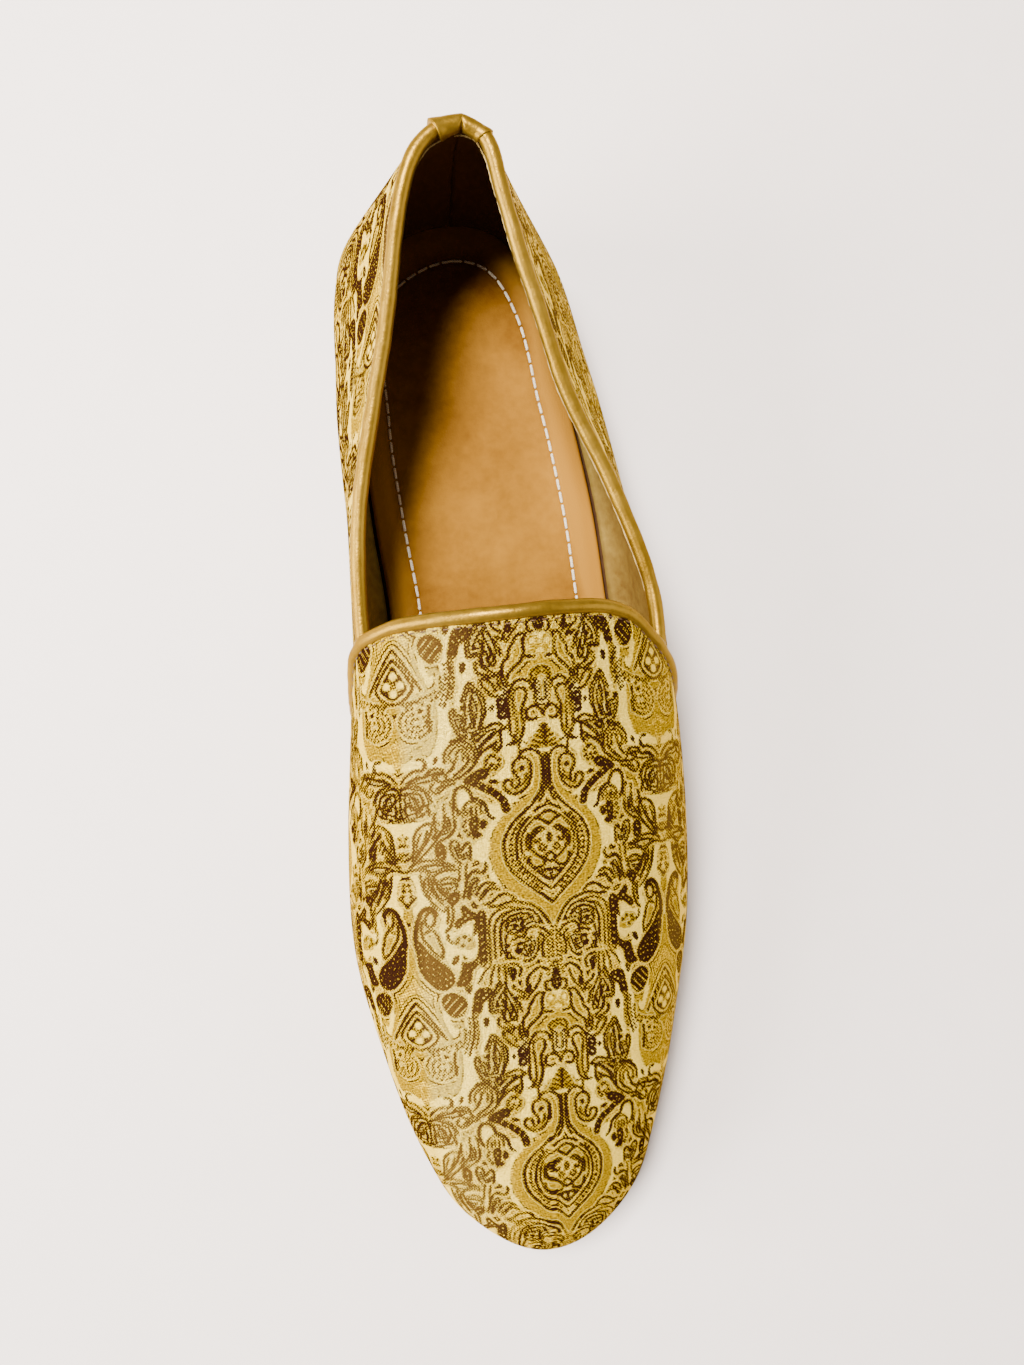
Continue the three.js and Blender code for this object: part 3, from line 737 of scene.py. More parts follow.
add("line", "ink", 0.21, """
3.4 -.5, 3.7 1, 4.8 3.4, 6 5, 6.9 6.6
11.6 2, 11.5 9
13 5, 12 7, 11.8 9.2
5.5 18.3, 6.1 19.6, 5.9 24, 5.7 28, 6.1 30.4, 7 31.4
4 31.8, 5.2 31.6, 5.6 33, 5.4 34.4
4.4 39.8, 4.5 41.2, 5.2 42.3
1.2 16.4, .7 17.4, .8 21, 0 21.6
2.1 15.6, 1.6 17.2, 1.6 21.8, .9 22.6, 0 22.7
.2 28.4, .8 27.8
.2 29.8, 1.3 29
.3 31.1, 1.9 30.2
.5 32.4, 2.4 31.5
1.3 33.2, 2.9 32.6
.1 27.6, .1 33
""")
beads("line", "ink", 0.3, 0.85, """
0 13.4, 1 13.6, 1.9 14.4, 2.3 15.4
0 14.4, .8 14.8, 1.3 15.6
""")
add("area", "stipple", 0, """
0 -5, .9 -3, 1.1 -1, 1.6 2.2, 1.2 4.4, 0 4.6
9.5 5, 10.3 3.5, 10.8 1.2, 11.6 .2, 12.6 1.5, 13.9 3.4, 14.9 5.2, 15.2 7.3, 14.9 9.2, 12.8 9.3, 12.4 12,
10.7 12.8, 10 12.2, 8.6 9.6, 8.9 7.2
7.3 14.8, 8.7 14.6, 8.8 16.8, 7.6 17.8
""")
add("area", "ink", 0, """
5.9 1.8, 7.2 3.6, 6.9 4.5, 5.9 4.5
15.6 10.9, 16.4 10.6, 16.9 11.2, 16.7 13, 15.9 12.8
7.6 20.3, 9.5 20.3, 9.6 22.7, 7.6 22.7
7.7 23.1, 9.4 23.1, 9.5 25.2, 7.8 25.3
10.4 21.8, 11 22, 10.9 23, 10.4 23.2
""")
beads("cut", "ink", 0.4, 2.9, "8.6 19.8, 8.5 25.6")
add("line", "gold", 0.5, """
4.5 7.2, 4.6 9.2, 5.4 11, 6.2 12.6
12.1 15.9, 10.9 17.8
0 17, 0 20.8
5 19.5, 5.1 24, 5 29.4
""")
add("line", "gold", 0.36, """
1.7 5.6, .6 7, 1.7 8.4, 2.7 7, 1.7 5.6
0 8, 1.4 9.6, 0 10.6
1.2 8.6, 3.2 10.4, 5.9 14.8
2 16.4, 3.4 15.2, 5 15.2, 6.3 16.2
""")
add("area", "gold", 0, """
0 11, 2 12, 4.5 15, 2 15.6, 0 16
0 26.8, .9 28, 2.2 29.6, 3.8 31.4, 4.2 32.8, 2 33.4, 0 33.2
""")

# %% Hooks, halo and medallion
add("line", "ink", 0.29, """
3.3 37.2, 3.9 36, 5.2 35.5, 6.5 36.1, 7.1 37.5, 6.9 39, 6.2 40.2, 5.9 41.4, 6.1 42.6, 6.9 43, 7.3 42,
7.3 41.2
7.3 41.2, 8.1 40.7, 9 41.2, 9.1 42.4, 8.5 43.6, 7.2 44.5, 5.7 44.2, 4.4 43.1, 3.6 41.4, 3.3 39.2, 3.3 37.2
3.6 47.9, 5.5 49.7, 7.4 51.6, 8.9 54, 9.8 56.5, 9.9 59, 9.5 62, 8.2 65, 6.3 67.7, 4 70, 1.8 72.2, 0 74.2
4 50.8, 5.6 52.6, 6.7 54.8, 7.2 57.5, 7.3 60, 6.8 62.4, 5.6 64.6, 3.8 66.8, 2 68.8, .3 70.4
1.2 54.3, 2.2 53.9, 3.4 54.8, 4.2 56.6, 4.2 58.6, 3.4 60.4, 2.2 61.6, 1.4 62.4, 1.5 63.8, 2.8 64.4,
4 63.9, 4.6 62.6, 4.7 61.4
4.6 55.3, 5 57.6, 4.8 59.4
1.9 54.9, 2.9 55.2, 3.5 56.2, 3.2 57.5, 2.5 57.7, 2.2 56.9
0 49.6, 1.3 50.2, 2.2 51
0 53.2, 1.5 51.9, 3 51.2
0 60.6, .9 61.4, 1 62.4, 0 63.2
0 65.2, 1.2 65.4, 2.4 66.2
""")
add("line", "ink", 0.21, """
3.6 52, 5 53.6, 6 56, 6.2 58.5, 5.9 60.8, 5 62.8, 3.6 64.8, 1.8 66.6, .4 67.8
.8 59.3, 1.6 58.4, 2.4 59.3, 1.6 60.2, .8 59.3
0 55.4, .4 56.4, .2 57.8
""")
beads("line", "ink", 0.42, 1.45, """
5 50.6, 7 53.2, 8.1 55.6, 8.5 58, 8.4 60.8, 7.6 63.2, 6 65.8, 4.1 68.2, 2 70.5
""")
add("line", "ink", 0.5, "5.1 38, 5.2 38.4")
add("area", "stipple", 0, "0 64.6, 3.4 65.4, 0 69")
add("line", "gold", 0.4, """
4.1 38.6, 4.2 37.2, 5.2 36.5, 6.1 37.2, 6.1 38.6, 5.2 39.6, 4.8 41.4, 5.4 42.8, 6.6 43.7, 7.8 43.3,
8.2 42.2
""")
add("area", "gold", 0, """
4 34.8, 2.8 36.8, 2.6 39.5, 2.9 42, 3.9 44.7, 6.5 47.2, 9.5 50, 11.5 53, 12.6 57, 13 60.3, 12.2 64.3,
9.8 68.6, 6.8 72, 3 76.3, .8 79.3, -.1 80, -.1 75, 2 72.8, 5.5 69.4, 8.4 65.4, 10.2 61, 10.4 57, 9.9 54,
8.4 51.3, 6 48.8, 3.8 46.6, 1.9 44.2, 1.3 41, 1.5 38, 2.6 35.6
0 50, 1.6 50.8, 2.4 51.6, 1.4 52.8, 0 53.4
1 53.4, 2.6 52.6, 4 53, 5 54.8, 5.5 57.2, 5.2 60, 4.6 62.4, 3.6 64, 2.4 64.3, 1.6 63.4, 1.7 62, 2.8 60.6,
3.9 59, 4.1 57, 3.6 55.2, 2.4 54.2
""")

# %% The roundel under the medallion
add("line", "ink", 0.29, """
1 79.8, 2 77.7, 3 76, 4.6 74.3, 6.6 73.4, 8.6 72.8, 10.2 73, 12 73.6, 14 73.6
8.2 72, 9.4 70.8, 10.8 70.6, 12.2 71.3, 13.4 72.4, 15 72.8
1.2 82.8, 2.4 81.2, 4 80.4, 5.4 80.4, 6.4 81.6, 6.4 82.6
7 77.8, 7 80.4, 8.2 81.6, 9.9 81.4
2.6 89, 2.8 86, 2.3 83.6, 3.4 82.2
8.2 93.6, 7.8 91.8, 8.6 90.4, 10.6 89.9
5 83.2, 6.4 83.4, 7.2 82.6, 9.4 83.4
""")
add("line", "ink", 0.21, """
14.4 89, 14.3 80, 13.9 77, 12.8 75.4, 11 74.4, 9 74.4, 6.6 75
13.3 88, 13.1 80, 12.5 77.6, 11.2 76, 9.2 75.6
12 87.4, 11.9 80.6, 11.1 78.3, 9.8 77, 8 76.4, 6 76.8, 4.4 78.4
10.6 80.6, 9.9 78.4, 8.6 77.7
3.6 83.6, 3.6 86, 4.4 88.4, 5.2 89.4
5.2 85, 5.4 87, 6.6 88
11.6 90, 11.4 92, 11.2 95
12.6 90, 12.8 93, 12.6 96
13.6 90, 14.4 92.6, 14.8 95.4
14.6 90, 16.2 92, 17.4 94.6
""")
add("area", "stipple", 0, """
2 79.6, 4 75.6, 7 74.6, 10.5 75.4, 12 78, 12.4 84, 11.2 88, 10 88.8, 10.4 84, 9.4 81, 7 82, 5.4 79.6,
3.2 80
3.8 84.4, 5.4 83.6, 8 84.2, 8.8 86, 7.2 88.4, 5 88.6
8.6 93.4, 8.6 91.4, 10.8 90.2, 11.2 92.4, 9.8 95
""")
add("area", "ink", 0, """
14.9 75.2, 16.6 75.2, 16.8 82, 16.7 89.4, 15.2 89, 15 82
7.2 86.2, 8.8 86, 8.6 87.4, 7.4 87.2
5.3 89, 6.2 89.5, 7 89, 6.8 90, 5.6 90
10 84.4, 10.9 84.7, 10.7 85.4, 10.1 85.2
""")
beads("cut", "ink", 0.42, 1.85, "15.9 77, 15.9 89.4")
beads("line", "ink", 0.3, 1.15, """
.5 80.4, .6 90
1.5 83, 1.5 90.6
0 90.6, .9 91.4, 1.6 93, 2 95
""")

# %% Leaves beside the arch, the rosette and the bead band
add("line", "ink", 0.29, """
12.1 23.8, 12.1 20.4, 13.4 17.8, 15.2 15.6, 16.3 18.2, 17 20
12.2 23.6, 13 25.6, 13.3 27.4
16.6 25.4, 17 23.6, 18.4 23.4, 18.6 21.8, 19.5 22.4, 19.4 24.6, 18.8 26.6, 18 28.2, 16.4 28.6
16.2 29.2, 18 29.2, 19.8 29.7
8 27.7, 9.3 26.5, 10.6 26.3, 12 27, 13.4 27.3
8.2 27.8, 9.8 28.3, 11.6 29.8, 13.2 31.6, 14 33.8
9.3 28.4, 9.2 31.6, 10 33.2
10 30.8, 11.5 31.9, 13.1 32.9, 14.3 34.4, 15.2 36.2, 17 38, 18.6 39, 20.2 39.4
15.1 35.6, 15 33, 15.8 30.8, 17.4 29.9, 19 30.1, 20.4 31, 21.4 32.6, 21.5 34.8
16.1 34.6, 17.4 36.6, 19.6 38.4
19.2 34.6, 19.8 36.4, 20.9 37.4
""")
add("line", "ink", 0.21, """
14.7 17.5, 14.8 22, 14.6 27
16.4 34.4, 16.2 32.6, 16.8 31.4, 18 30.9, 19.4 31.6, 20.3 33, 20.2 35
17.4 34.8, 17.2 33, 17.8 32, 18.6 32.4, 18.9 34.4
9.7 32.4, 10.3 31.8, 10.9 32.4, 10.3 33, 9.7 32.4
""")
add("area", "stipple", 0, """
12.3 23.5, 12.4 20.2, 13.8 17.6, 15.2 16.2, 16.6 19.4, 17 22.5, 16.8 25, 17.8 27.5, 15.5 28.5, 13.5 28,
12.8 26
16.8 25.4, 17.2 24, 18.6 23.6, 18.8 22.2, 19.2 24.6, 18.6 26.6, 17.4 28.2
9.4 27.3, 13.4 27.6, 16 29, 15.4 31, 14.4 34, 13 31.4, 11 29.4
""")
add("area", "ink", 0, """
12.2 38.6, 12.8 37.4, 14.4 37.4, 15.6 38.2, 17 39, 16.8 40.2, 14.6 40.1, 13 39.8
10.3 41.3, 10.9 40.4, 12.2 40.4, 11.8 41.2
15 50, 16.2 49.2, 17 50.4, 16.9 52.6, 16.2 55.4, 15.4 53.4
13.3 51.2, 14.3 50.2, 14.8 52, 14 52.8
14.3 54.3, 15.4 53.4, 15.8 55
""")
add("line", "ink", 0.85, "16.8 40, 15 41, 13.2 42.3, 11.6 43.4, 10.4 44.6, 9.4 46, 9 48.2")
beads("cut", "ink", 0.33, 1.75, """
16.6 39.9, 15 40.9, 13.2 42.3, 11.6 43.4, 10.4 44.6, 9.4 46, 9 48.6
12.6 38.4, 15.4 39.3
""")
add("line", "ink", 0.36, """
11.8 50.2, 12.6 49.6, 13.1 48, 13.6 46.2, 14.8 45, 16 44.4, 16.4 43, 17.4 41.6, 18.8 41.5, 19.7 42.6,
20 44.4, 19.8 46.6, 19 48.4
""")
add("line", "ink", 0.21, """
14.3 48.6, 14.5 46.6, 15.6 45.5, 17 45.5, 18 46.8, 18.2 49
15.4 49, 15.5 46.9
16.4 48.8, 16.4 46.8
17.2 49, 17.2 47.2
""")
beads("line", "ink", 0.42, 1.3, """
17.5 49.8, 18.3 51.2, 17.9 52.8, 17.2 54.2
11.3 34, 9.9 35.4, 10.4 37.4, 12 37.5, 12.8 35.8, 11.6 34.2
11.2 35.9, 11.4 36.6
""")
add("line", "gold", 0.38, """
11.3 33.4, 9.4 34.6, 9.2 36.8, 10.8 38.3, 12.8 37.6, 13.4 35.4, 11.9 33.4
18.9 49.4, 19.2 51.4, 18.4 53.6, 17 55.2, 16.6 56.2
""")

# %% Scrolls, narrow leaves and the star
add("line", "ink", 0.29, """
25.8 36, 25.7 34.6, 26.3 33.6, 27.6 33.5
20.9 39.4, 21.6 38, 22 36.8, 23 36.2, 24.6 36.4, 25.4 36.9
21.2 39.6, 23 39.5, 24.2 38.4, 24 37.6, 22.4 37.6
26 35, 26.6 36.4, 28 36.3, 29.4 36.9, 30.8 38, 31.8 39.4
25 37, 26.2 38.2, 27.6 37.9, 28.8 38.4, 30 39.5
19.8 40.3, 21.4 40.8, 22.4 41.8, 23.6 42.5, 24.6 42, 25 40.8, 24.4 40
22 40.4, 23.4 41.3
25 44.6, 25.6 42.6, 27 40.8, 28.8 40.2, 31 40.4, 32.3 41
28.4 44.8, 29 43.2, 30.2 42.2, 32.3 42.2
25.6 48, 25.8 46.2, 27 45.2, 27.8 46.2, 27.2 48
28.4 48, 29 46, 30.6 45.2, 31.4 46.4, 30.8 48, 32.3 48.6
20.2 49.6, 20.3 52, 21.6 53.8, 23.4 54.8, 25 55.2
22.2 48, 22.6 51.4, 23.8 53.4, 24.6 54.6
24.4 47.6, 24.9 50.4, 24.4 52.4, 25.2 54.2
25.2 50.2, 27 50.4, 28.6 51.6, 29.6 53.6, 29.8 56, 30.3 59.4
25.2 50.6, 25.7 52.8, 27 55.4, 28.6 57.8, 30.2 60
25 55.4, 26.4 57, 28 58.8, 29.8 60.4
17.4 60.4, 17.2 57.4, 18 56, 19.3 58.2, 19.8 55.8, 21 55.2, 21.5 57, 20.8 59.6, 19.4 61.4
21 61.8, 23.4 60.6, 25.4 60, 27.6 59.9, 29.4 60.5, 31 61.4
20.8 63, 22.6 62.8, 24.6 63.4, 26 64.1, 27.6 62.8, 29.6 62.2, 32.3 62.8
30.4 58.6, 31.4 59.4, 32.3 59.8
28.8 63.8, 28.4 67, 27.6 69.6, 26 72, 24 74
27.2 64.2, 26.8 67, 25.6 69.4, 24.2 71.8
25.6 64.8, 25 67, 24.2 69, 22.8 70.4
20.2 66, 22.4 64.9, 24.4 65.6
20.4 68.8, 21.6 69.4, 23.2 68.8, 24.3 67.4
16 63.4, 17.4 64, 18.4 66, 18.8 68.4, 19.4 70.6
15.8 66, 17 66.8, 17.8 68.6, 18.2 71
14.2 61.6, 14 62.8, 14.8 64.2, 16.6 64
12.4 67.6, 14 67, 15.6 68, 16.6 70.2
11.6 69.2, 13 68.7, 14.4 69.4, 15.4 71.2
30.2 69.8, 31.4 71, 32.3 72.4
""")
add("line", "ink", 0.21, """
26.6 44.8, 27.3 42.8, 28.8 41.4
30.4 44.6, 31.2 43.6, 32.3 43.4
26.4 52, 27.2 54.6, 28.6 57.2, 30 59
28 52.6, 28.9 55, 29.3 57.4
22 61.9, 24.4 61.1, 27 61.2, 29 61.6
20.4 67.4, 22.4 66.4, 24 66.4
18.2 61.4, 18.5 63.6, 18.6 65.6
19.8 61.6, 20 65.4
20.4 49, 20.4 46.6, 21 45.2
21.4 50.4, 21.4 52
22.4 47.2, 22.3 45.6
23.5 50.6, 24.3 49.6
23.5 52.6, 24.6 51.6
31.2 56, 31.8 55.4, 32.3 56
31.2 53.4, 31.8 54.2
31.2 57.8, 31.8 58.4, 32.3 57.8
13.6 68, 15 69.4, 16 71.6
26.2 65.4, 26 68, 25 70.6
27.9 65, 27.6 67.6, 26.6 69.8
""")
add("area", "ink", 0, """
22.9 33.4, 23.6 33.2, 24 35.2, 23.2 34.6
22.7 59.6, 22.6 56.6, 23.6 55.6, 24.8 56, 24.9 58.8, 24 59.8
20 69.6, 22.4 69.8, 23 71.2, 21.6 72.2, 20.6 71.2
""")
beads("cut", "ink", 0.4, 1.7, "23.9 56.4, 23.6 59.6")
beads("line", "ink", 0.45, 1.6, "31.8 65.4, 31.2 70")
add("area", "stipple", 0, """
25.6 42.6, 27 40.9, 32.3 40.8, 32.3 49.4, 30 49.2, 26.4 48, 25.2 45
21.8 37.6, 23.4 36.6, 26 37.4, 30 38.6, 31.4 39.8, 27 40, 23.6 39.2
17.6 60, 17.6 57.6, 19.2 58.6, 20 56, 21.2 56.8, 20.6 59.4, 19.2 60.8
20.8 49, 22 48.4, 22.6 51.6, 23.8 53.8, 22 53.6, 20.8 52
20.6 62.4, 24.4 60.8, 29 61.2, 26 63.6, 22.6 62.6
20.4 66, 24.4 66, 25 64.8, 27 64.6, 26.2 68.4, 24 71.4, 20.6 68.6
16.4 64.6, 18.2 66.4, 19 70.8, 17.4 70.4, 15.6 66.8
""")
add("line", "gold", 0.3, """
19.4 40, 20.8 42.2, 22.6 44.2, 24 43.4
21 46.6, 23.2 45, 24.2 46.8
""")

# %% The side column: curls, striped drops and the diamond
add("line", "ink", 0.29, """
22.2 72, 21.9 74, 22.2 76.6, 23 78.6, 23.8 79.4
23.2 72.6, 23 75, 23.4 77.2
17 77, 17.2 79.4, 17.6 80.8
16.6 84.8, 16.9 86.8, 17.8 88.2, 19.2 88.8, 20.8 88.6
22.6 82.8, 23.5 81.6, 23.4 80.4
26.2 74.6, 26.2 76.4, 27 77.8, 28.2 77.4, 28.4 75.4, 27.6 74.1, 26.7 74
29.2 76.6, 29.5 78.4, 29.2 81, 28.2 82.8, 27.2 84.6, 25.6 86.4
25 86.8, 24.8 84.6, 25.4 82.4, 25.9 80.4, 27 78.8, 28.4 79.4
32.3 5.4, 31 7, 29.6 9.2, 28.2 11.6, 26.8 14, 25.6 16.2
32.3 19.2, 30.8 18.8, 29 17.6, 27.9 16.2, 27.6 15, 28.6 13, 29.8 11, 31.2 9, 32.3 7.9
19.2 1.2, 19.6 3.2, 20.2 1.6
24 20.2, 24.2 23, 24 26.6
""")
add("line", "ink", 0.55, """
25.9 74.6, 26.6 73.2, 28 72.9, 29.4 74.2, 30.2 76.6, 30.9 79.4, 31 83
""")
add("area", "ink", 0, """
16 75.8, 18 74.4, 19.4 72.6, 20.2 73.6, 19.8 75.6, 21.2 76.4, 21.8 78, 21 78.8, 19.6 77.4, 18 76.6,
16.4 76.8
21.4 86.2, 22.6 87, 23 88.6, 22.2 88.8, 21.4 87.6
17 88.8, 18.8 89, 20.6 89, 21 90.6, 21.6 92.6, 22.4 94.8, 20 95, 18.8 93, 18.6 91
31.2 81.6, 31 86, 30.6 89.8, 29.4 92.6, 27 95.4, 24.6 95.8, 23 94.4, 22.8 91.6, 24.4 89, 26.4 87,
28.4 84.6, 29.8 82.2
14.6 2.4, 16.4 2, 18 2.6, 18.6 4.4, 18.8 6, 19.4 8.6, 18.4 9.4, 17.2 8.6, 16.8 6.4, 15.4 5.2, 14.6 3.8
20.6 7.6, 20.4 5.4, 21.8 3.6, 23.6 2.8, 25.4 3.6, 26 5.6, 25.2 8, 23.6 9.8, 21.8 9.6
""")
beads("cut", "ink", 0.34, 1.75, """
30.2 83, 30 89.4
28.9 84.8, 28.7 91.4
27.4 87, 27.4 93.6
26 88.4, 26 95
24.6 90.2, 24.6 95
19.4 89.6, 20 92, 21.2 94.6
15.2 2.8, 17.4 3.4, 18 6.4, 18.4 9.2
""")
add("cut", "ink", 0.26, """
22.4 4.4, 24.8 7.4
23.9 3.8, 25.4 6
21.3 5.8, 23.6 8.8
20.9 7.6, 22.2 9.2
""")
add("line", "ink", 0.24, "19.2 9.6, 19.1 13, 19.3 16, 20 18.6, 20.7 21.2")
beads("line", "ink", 0.36, 1.25, """
18.5 9.6, 18.3 14, 18.6 17, 19.5 20
20.1 9.8, 20.1 14, 20.5 17, 21.6 20.4
22 16.6, 24 17.9, 26 18.4, 28 19.4, 29.8 20.6
21.2 13, 21.2 16, 22.2 18.4, 24.4 19.2
""")
add("area", "stipple", 0, """
32.3 8.9, 31 10.8, 29.6 12.8, 28.7 15, 29.6 16.6, 31 17.6, 32.3 17.9
""")
add("area", "gold", 0, """
17.4 83.4, 18 81.4, 19.6 80.2, 21.4 80.6, 22.6 81.6, 22.4 83.2, 21 84.6, 19.4 84.8, 18 84.8
26 81.4, 27.6 80.6, 28.2 82.2, 26.6 84.2, 25.5 85
22.6 19, 23.6 19, 23.6 26, 25 29, 26.4 30, 25.6 31.6, 24 31, 22.9 28, 22.4 24
24 30.6, 25.8 30.8, 25.8 32.6, 24.4 32.2
26.4 31.2, 28.4 31.2, 28.2 33.4, 26.7 33
29 31.4, 31 31.2, 30.8 34, 29.5 33.6
31.6 30.4, 32.6 30.4, 32.6 33.6, 31.9 33.4
29.8 19.6, 32.3 20.2, 32.3 21.4, 30.4 21
""")
beads("line", "ink", 0.4, 1.5, "18.2 82.8, 19.4 81.4, 20.8 81.4, 21.8 82.4, 20.6 83.6, 19.2 83.7")
add("line", "gold", 0.42, """
23.4 12.7, 23.3 11.7, 22.2 11.5, 21.6 12.8, 21.6 14.4, 22.4 16, 24.2 16.8, 27 17.4, 29.4 18.8, 31 20.2
26.8 5.4, 27.2 7.6, 26.8 10, 25.8 12.4, 25 14.8, 24.6 16.4
24.8 27.2, 26.6 29.6, 29 30.2, 31 28.8, 32 26.6, 31.6 24.6
31.6 72.6, 32 76
30.9 93.6, 31.7 89.6, 32.2 84
""")
PETALS = """
32.3 11.9
30.5 14.4
32.3 16.4
"""
add("line", "plain", 0.95, PETALS)
add("cut", "stipple", 0.95, PETALS)
beads("line", "ink", 0.34, 1.2, """
27.4 20.4, 30 21.5, 31.1 24.2, 30 26.9, 27.4 28, 24.8 26.9, 23.7 24.2
27.2 21.8, 29 22.5, 29.7 24.2, 29 25.9, 27.3 26.6, 25.6 25.9, 24.9 24.2, 25.6 22.5
26.3 23.6, 27.3 23, 28.3 23.8, 28.2 25, 27.2 25.4, 26.3 24.8
30.6 19.6, 27.4 18.9, 24.6 20.2
""")

# %% The plain satin between the figures
add("area", "plain", 0, """
0 5.2, 1.8 5.4, 2.8 7, 2.4 9.4, 1.6 10, 0 10.4
0 26.6, 1.2 27.6, 2.8 30, 4.2 32.4, 2 33.8, 0 33.8
0 16.6, 1.1 16.6, 1.2 21.6, 0 22.2
7.6 17, 9.6 20, 12 20.6, 11.8 24, 12.4 26, 9.8 25.9, 8 26.8, 7.6 24
7.6 28.4, 9 29, 8.8 32, 9.4 34, 8.8 36.4, 10.4 38.8, 12 40, 10 40.4, 9.8 42.4, 9.4 44.6, 8.4 46.6, 6 46,
9.2 44, 9.8 42, 9.2 40.4, 7.8 40.2, 7.6 38, 7.8 36, 6.6 34.4, 5.9 32.6, 7 32
1.4 26.6, 3.8 27, 4.2 30, 5.4 31.6, 4.6 33, 3.6 31, 2 28.8
13.4 49.8, 12.4 50.8, 14 53.6, 14.4 55.2, 16 56, 16.8 57.4, 16.8 60, 15 61.4, 13.6 62.6, 13.4 66,
11 68.4, 9.4 70.2, 11.8 66, 13.2 62, 13.2 57, 12 53, 9.8 49.8, 10.8 46.6, 12.6 46.6
16 6, 17.4 9.6, 17.8 12, 17.6 17, 18.6 20.4, 17.6 21, 16.6 18, 15.4 15, 14.2 14.6, 14.4 11.4, 15.4 9.8
19.9 2, 20.4 4, 20 7, 20.6 9.4, 21.2 11, 21 14, 21.2 17.4, 22.2 19.6, 22.4 24, 22.6 28, 24 32, 26 33.4,
28 33, 31 34.4, 31.6 36.4, 29.6 36, 27.6 35.4, 26.6 36, 25.2 35.6, 24.6 36, 22.4 35.8, 21.8 34,
21.2 31.4, 19.8 29.2, 19.6 26, 20 23, 19.6 20, 20.2 16, 19.6 10, 19.4 6, 18.8 3
24.6 9.8, 26 7.6, 26 11, 24.4 15.6, 22.8 14.8, 22.6 13, 24 12.4
27 49.6, 29.6 49.6, 32.3 50, 32.3 52.6, 30.6 53.6, 30.6 58, 30 54, 29.4 51.6
29.4 63.6, 31.4 63.8, 30.4 65.6, 30 68, 29.8 70.8, 31.4 73, 30.4 75, 29.2 72.6, 26.8 72, 25.4 73.6,
24.8 76, 25.6 78.4, 24.8 81, 24.2 84, 24.2 87.4, 22.4 90.4, 21 89.6, 20.8 86, 19 87.6, 17.2 85.4,
16.8 81, 18 79.6, 18.4 77.4, 21.4 79.6, 22.4 79.6, 24.4 80, 23.6 77.6, 23.6 74.6, 24.6 73, 27 71, 28.6 67
16.4 90.6, 17.6 91, 18.4 94, 19 97.6, 18 97, 17 94
17 43.2, 18.6 42.6, 19.2 44.4, 19 47.6, 18.4 46.4, 17 44.8, 14.8 46, 13.8 48.4, 13.8 47, 15 45.2,
16.6 44.6
""")
print(f"the chart holds {len(CHART)} figures")


# %% From the chart to numbers on the cloth
INNER_HALF = 37.0


def figure_distance(u, v, how, wide, points):
    """Distance to one figure, with its mirror image over the middle and its repeats."""
    closed = how == "area"
    path = smooth_path(points, closed)
    measure = signed_distance if closed else distance_to_path
    low, high = path.min(axis=0) - FAR, path.max(axis=0) + FAR
    result = np.full(u.shape, FAR)
    for shift in (-REPEAT, 0, REPEAT):
        for mirrored, at in ((1, 0), (-1, 0), (-1, 2 * HALF)):
            here_u, here_v = mirrored * u + at, v + shift
            near = (here_u > low[0]) & (here_u < high[0]) & (here_v > low[1]) & (here_v < high[1])
            if near.any():
                found = measure(here_u[near], here_v[near], path) - wide
                result[near] = np.minimum(result[near], found)
    return result


def charted(across, along):
    """Four distances on the cloth: to ink, to gold, to dotted areas and to plain satin. The inner
    side of the cloth is pulled out a little wider than the outer one."""
    across = np.where(across < 0, across * HALF / INNER_HALF, across)
    u = np.abs((across + HALF) % (2 * HALF) - HALF)
    v = along % REPEAT
    fields = {name: np.full(u.shape, FAR) for name in ("ink", "gold", "stipple", "plain")}
    for into, how, wide, points in CHART:
        found = figure_distance(u, v, how, wide, points)
        field = fields[into]
        fields[into] = np.maximum(field, -found) if how == "cut" else np.minimum(field, found)
    return fields


def weave(thing, across, along, spread=0.0):
    """Gives a cloth piece its place on the cloth and its distances to the figures. A spread widens
    the dark threads by some of a millimetre, which makes the cloth darker."""
    cloth_map(thing, along, across)
    for name, values in charted(across, along).items():
        attribute(thing, name, values - spread * (name == "ink"))


# %% [markdown]
# The material turns the four distances into threads. Two fine grids of sines stand for the weave:
# they make the edges of the figures step from thread to thread, and break dotted areas into dots.
# Stretched noise stands for the long floats of the satin and for its short flecks. It could be
# one even yellow under a pattern, but on real satin the sheen comes and goes with the threads. So
# the ground is a mix of bright and deep threads. Over them lies a painted sheen where the light
# rakes over the cloth: it pales satin and ink down the vamp's inner side, and the ink alone on its
# outer edge and over the outer quarter.

# %% Threads of the brocade
# A place in centimetres times this is a phase that turns once for each millimetre, so the grids
# below are counts of waves in a millimetre of cloth.
MILLIMETRE_TURN = 62.832
SEED_GRID, KNOT_GRID, TWILL_GRID, WEFT, WARP = 0.62, 1.05, 0.86, 3.2, 2.4
# The deep and the bright threads of each ground, and the dark ink with the paler tone that the painted
# sheen gives it.
SATIN = (0.56, 0.36, 0.025), (1.0, 0.74, 0.11)
OCHRE = (0.14, 0.064, 0.006), (0.90, 0.60, 0.016)
MUSTARD = (0.13, 0.065, 0.0), (0.43, 0.265, 0.0)
INK_AND_SHEEN = (0.020, 0.0065, 0.0028), (0.22, 0.12, 0.022)
# The painted sheen on the satin, and the painted highlight beside each dark line.
SHEEN, RIM_HIGHLIGHT = (1.0, 0.84, 0.24), (1.0, 0.84, 0.22)
RELIEF_DEPTH = 0.00035

